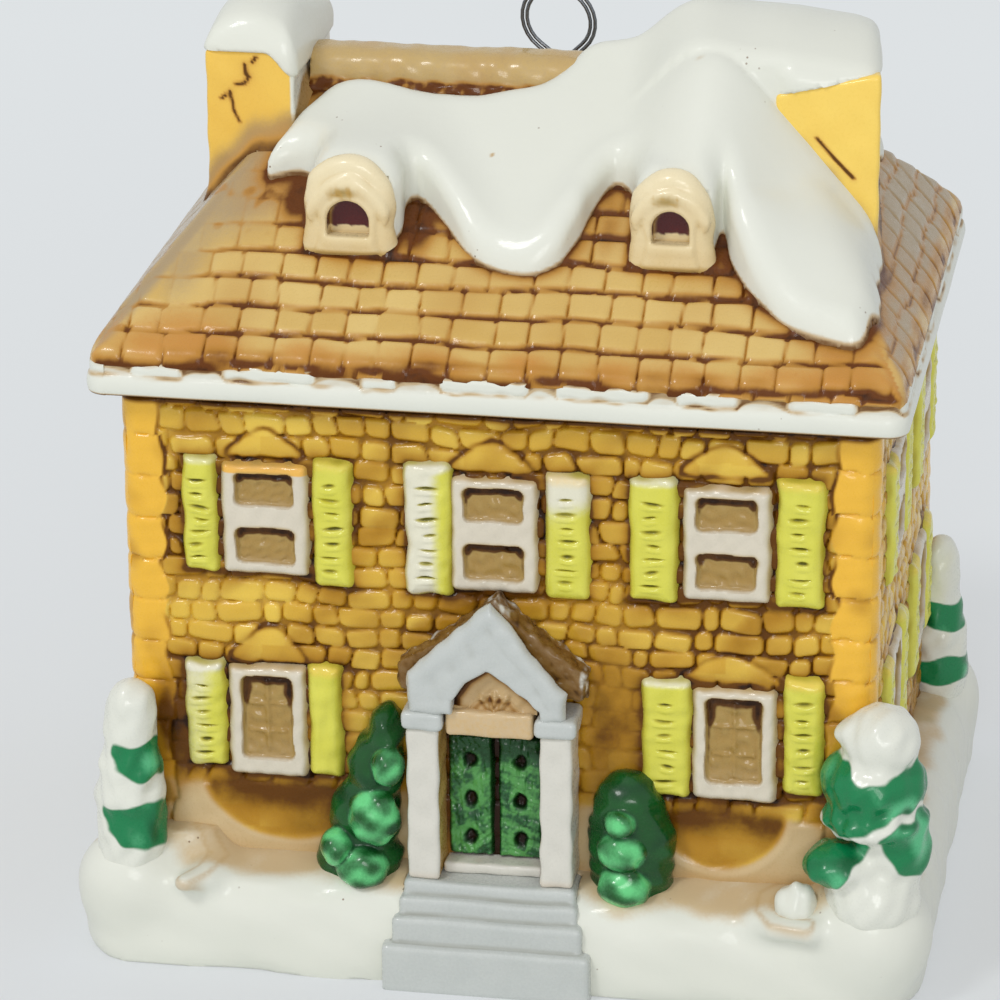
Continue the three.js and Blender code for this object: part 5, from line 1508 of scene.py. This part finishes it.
# Green patches of the front trees, each an outline in x and z
LEFT_TREE_GREEN = [
    [
        (-29.4, 18.3), (-27.7, 18.4), (-25.9, 18.4), (-24.6, 17.4), (-25.0, 15.9), (-27.1, 15.4),
        (-28.6, 16.0), (-29.4, 17.1),
    ],
    [
        (-30.1, 13.1), (-28.1, 13.4), (-26.2, 13.4), (-24.8, 12.0), (-24.4, 10.6), (-25.3, 9.7),
        (-27.0, 9.7), (-28.9, 10.2), (-30.0, 11.6),
    ],
]
RIGHT_TREE_GREEN = [
    [
        (24.2, 19.2), (26.8, 20.9), (28.3, 19.9), (30.4, 19.8), (33.2, 21.0), (34.6, 21.0),
        (34.6, 17.9), (31.0, 16.9), (28.4, 15.6), (26.1, 15.3), (24.4, 17.2),
    ],
    [(29.9, 15.2), (32.0, 16.4), (35.0, 17.0), (35.0, 11.4), (33.0, 11.3), (31.2, 12.6)],
    [
        (22.6, 12.4), (24.6, 14.0), (27.2, 14.7), (29.2, 14.2), (28.2, 12.7), (27.2, 11.4),
        (26.0, 10.5), (24.0, 11.0),
    ],
]
# Tiers of the trees: place, height, radius and half thickness
SLIM = [
    (0.3, 0, 12.4, 1.9, 2.1), (0.1, 0, 10.0, 2.1, 2.2), (0, 0, 7.3, 2.5, 2.0),
    (0, 0, 4.9, 2.8, 1.9), (0, 0, 2.4, 2.7, 2.2), (0, 0, 0.2, 2.7, 2.6),
]
FULL = [
    (0.8, -0.4, 13.6, 2.9, 2.7), (-1.4, -0.6, 14.0, 1.3, 1.0), (0.2, 0, 10.0, 4.0, 2.8),
    (0.4, -0.3, 7.2, 4.0, 1.7), (1.6, 0, 4.6, 3.0, 3.4), (-2.2, -1.6, 3.6, 2.7, 1.7),
    (0.3, -0.4, 0.4, 3.7, 3.8),
]
REAR = [(dx, dy, 0.87 * rise, radius * (1 - 0.02 * rise), thick) for dx, dy, rise, radius, thick in SLIM]
left_tree_place = (-28.5, -24.2)
plant("tree_left_snowy", "tree_front_left", SLIM, 1.1, front_painted(LEFT_TREE_GREEN, 211), left_tree_place)
plant("tree_right_snowy", "tree_front_right", FULL, 0.8, front_painted(RIGHT_TREE_GREEN, 213))
for side, bands, seed in (("right", [(5.0, 7.6), (0.4, 2.9)], 215), ("left", [(4.8, 7.3), (0.6, 3.1)], 217)):
    middle = middle_of(f"tree_back_{side}")
    nearer = (middle[0] * 0.965, middle[1] * 0.95)
    plant(f"tree_rear_{side}", f"tree_back_{side}", REAR, 1.3, banded(bands, seed), nearer)


def shrub(name, node, outline, berries, seed):
    """Leaves of stacked balls with round berries in front, each with its place, height and radii."""
    low, high = node_box(node)
    middle = (low[0] + high[0]) / 2

    def balls(x, y, z, parts, at_y, deep):
        return [
            ball(x, y, z, (middle + dx, at_y, ground_top + height), (radius, deep, thick))
            for dx, height, radius, thick in parts
        ]

    def field(x, y, z):
        whole = joined(balls(x, y, z, outline, -23.0, 2.3), 1.0)
        whole = joined([whole, *balls(x, y, z, berries, -24.9, 1.6)], 0.15)
        return np.maximum(whole + 0.1 * wander(1.6, seed, x, y, z), 4.0 - z)

    def paint(points, crease):
        x, y, z = points.T
        nearest = np.min(balls(x, y, z, berries, -24.9, 1.6), axis=0)
        light = ease(0.5 - nearest / 0.45) * (0.95 + 0.35 * wander(1.6, seed + 1, x, y, z))
        wash = unit(crease * 2.0) + 0.35 * (1 - light) * unit(wander(2.5, seed + 2, x, y, z))
        return {"wash": wash, "paint": unit(light), "tone": 0.5 + 0.4 * wander(2, seed, x, y, z)}

    bounds = (middle - 5, -27, 3.5), (middle + 5, -20.5, high[2] + 1)
    blob(name, node, green_glaze, field, *bounds, 0.2, paint)


shrub(
    "shrub_left_leaves", "shrub_left",
    [(-0.2, 0.3, 3.4, 2.8), (0.3, 4.0, 2.8, 3), (1.2, 8.0, 2.2, 3), (2.1, 11.3, 1.4, 2.0)],
    [(0.3, 0.3, 2.1, 1.75), (1.4, 4.6, 2.0, 2.4), (2.5, 9.0, 1.25, 1.7), (-1.6, 1.9, 1.3, 1.6)],
    221,
)
shrub(
    "shrub_right_leaves", "shrub_right",
    [(0, 0.6, 3.2, 3.2), (0, 3.6, 3.4, 3.2), (-0.3, 6.2, 2.6, 2.8)],
    [(-0.6, 5.6, 1.25, 1.1), (-0.5, 3.2, 1.9, 1.65), (-0.3, 0.2, 2.1, 1.75)],
    223,
)

rock_x, rock_y, _ = middle_of("snow_rock")


def rock_field(x, y, z):
    body = ball(x, y, z, (rock_x, rock_y, ground_top - 0.4), (1.7, 1.5, 2.1))
    return np.maximum(body + 0.12 * wander(1.6, 231, x, y, z), 4.5 - z)


blob(
    "rock_snowy", "snow_rock", snow_glaze, rock_field, (rock_x - 2.4, rock_y - 2.4, 4),
    (rock_x + 2.4, rock_y + 2.4, ground_top + 2.6), 0.16,
)

steel_wire = steel()
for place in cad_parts["wire_hanger"].material_slots:
    place.material = steel_wire


# Floor, light and camera
def seen_only(add, maths):
    """1 for what the camera, reflections and glass see, 0 for the light that falls on the object."""
    paths = add("LightPath").outputs
    either = maths("MAXIMUM", paths["Is Camera Ray"], paths["Is Glossy Ray"])
    return maths("MAXIMUM", either, paths["Is Transmission Ray"])


def pale_floor():
    """Pale and a little darker towards the front, with half of the object's shadow."""
    material, add, mix, maths, spread = new_material("floor_pale")
    place = add("TexCoord").outputs["Object"]
    far = spread(add("SeparateXYZ", Vector=place).outputs["Y"], -0.08, 0.22, kind="LINEAR")
    diffuse = add("BsdfDiffuse", Color=tint(226, 230, 231))
    glow = add("Emission", Color=mix(tint(216, 218, 220), tint(240, 244, 245), far), Strength=1.0)
    half = maths("MULTIPLY", seen_only(add, maths), 0.5)
    both = add("MixShader", _0=half, _1=diffuse.outputs[0], _2=glow.outputs[0])
    add("OutputMaterial", Surface=both.outputs[0])
    return material


floor_half = 3.0
floor_mesh = bpy.data.meshes.new("floor")
corners = [(floor_half * x, floor_half * y, 0) for x, y in ((-1, -1), (1, -1), (1, 1), (-1, 1))]
floor_mesh.from_pydata(corners, [], [(0, 1, 2, 3)])
floor_mesh.materials.append(pale_floor())
floor = bpy.data.objects.new("floor", floor_mesh)
bpy.context.scene.collection.objects.link(floor)

world = bpy.data.worlds.new("studio")
bpy.context.scene.world = world
world.use_nodes = True
world.node_tree.nodes.clear()
add, _, maths, _ = node_tools(world.node_tree)
shown = add("Background", Color=tint(222, 227, 229), Strength=1.0).outputs[0]
lit = add("Background", Color=tint(250, 251, 255), Strength=0.66).outputs[0]
both = add("MixShader", _0=seen_only(add, maths), _1=lit, _2=shown)
add("OutputWorld", Surface=both.outputs[0])


def softbox(name, place, size, power):
    light = bpy.data.lights.new(name, "AREA")
    light.shape = "DISK"
    light.size = size
    light.energy = power
    lamp = bpy.data.objects.new(name, light)
    bpy.context.scene.collection.objects.link(lamp)
    lamp.location = place
    lamp.rotation_euler = (Vector((0, 0, 0.035)) - Vector(place)).to_track_quat("-Z", "Y").to_euler()


softbox("key", (-0.35, -0.55, 0.75), 0.2, 2.2)
softbox("fill", (0.12, -0.8, 0.33), 0.3, 1.5)

camera_data = bpy.data.cameras.new("camera")
camera = bpy.data.objects.new("camera", camera_data)
bpy.context.scene.collection.objects.link(camera)
bpy.context.scene.camera = camera
camera_data.sensor_width = 36
camera_data.lens = 179.92
camera_data.clip_start = 0.01
camera_data.clip_end = 20
# Its place and its three directions were fitted to the edges of the house in the photo
right, up, back = (0.98454, 0.175, -0.00802), (-0.05824, 0.37014, 0.92715), (0.16522, -0.91234, 0.37461)
turn_matrix = Matrix((right, up, back)).transposed().to_4x4()
camera.matrix_world = Matrix.Translation(Vector((62.5, -364.94 + shift, 179.63)) * MM) @ turn_matrix

bpy.context.scene.view_settings.view_transform = "Standard"
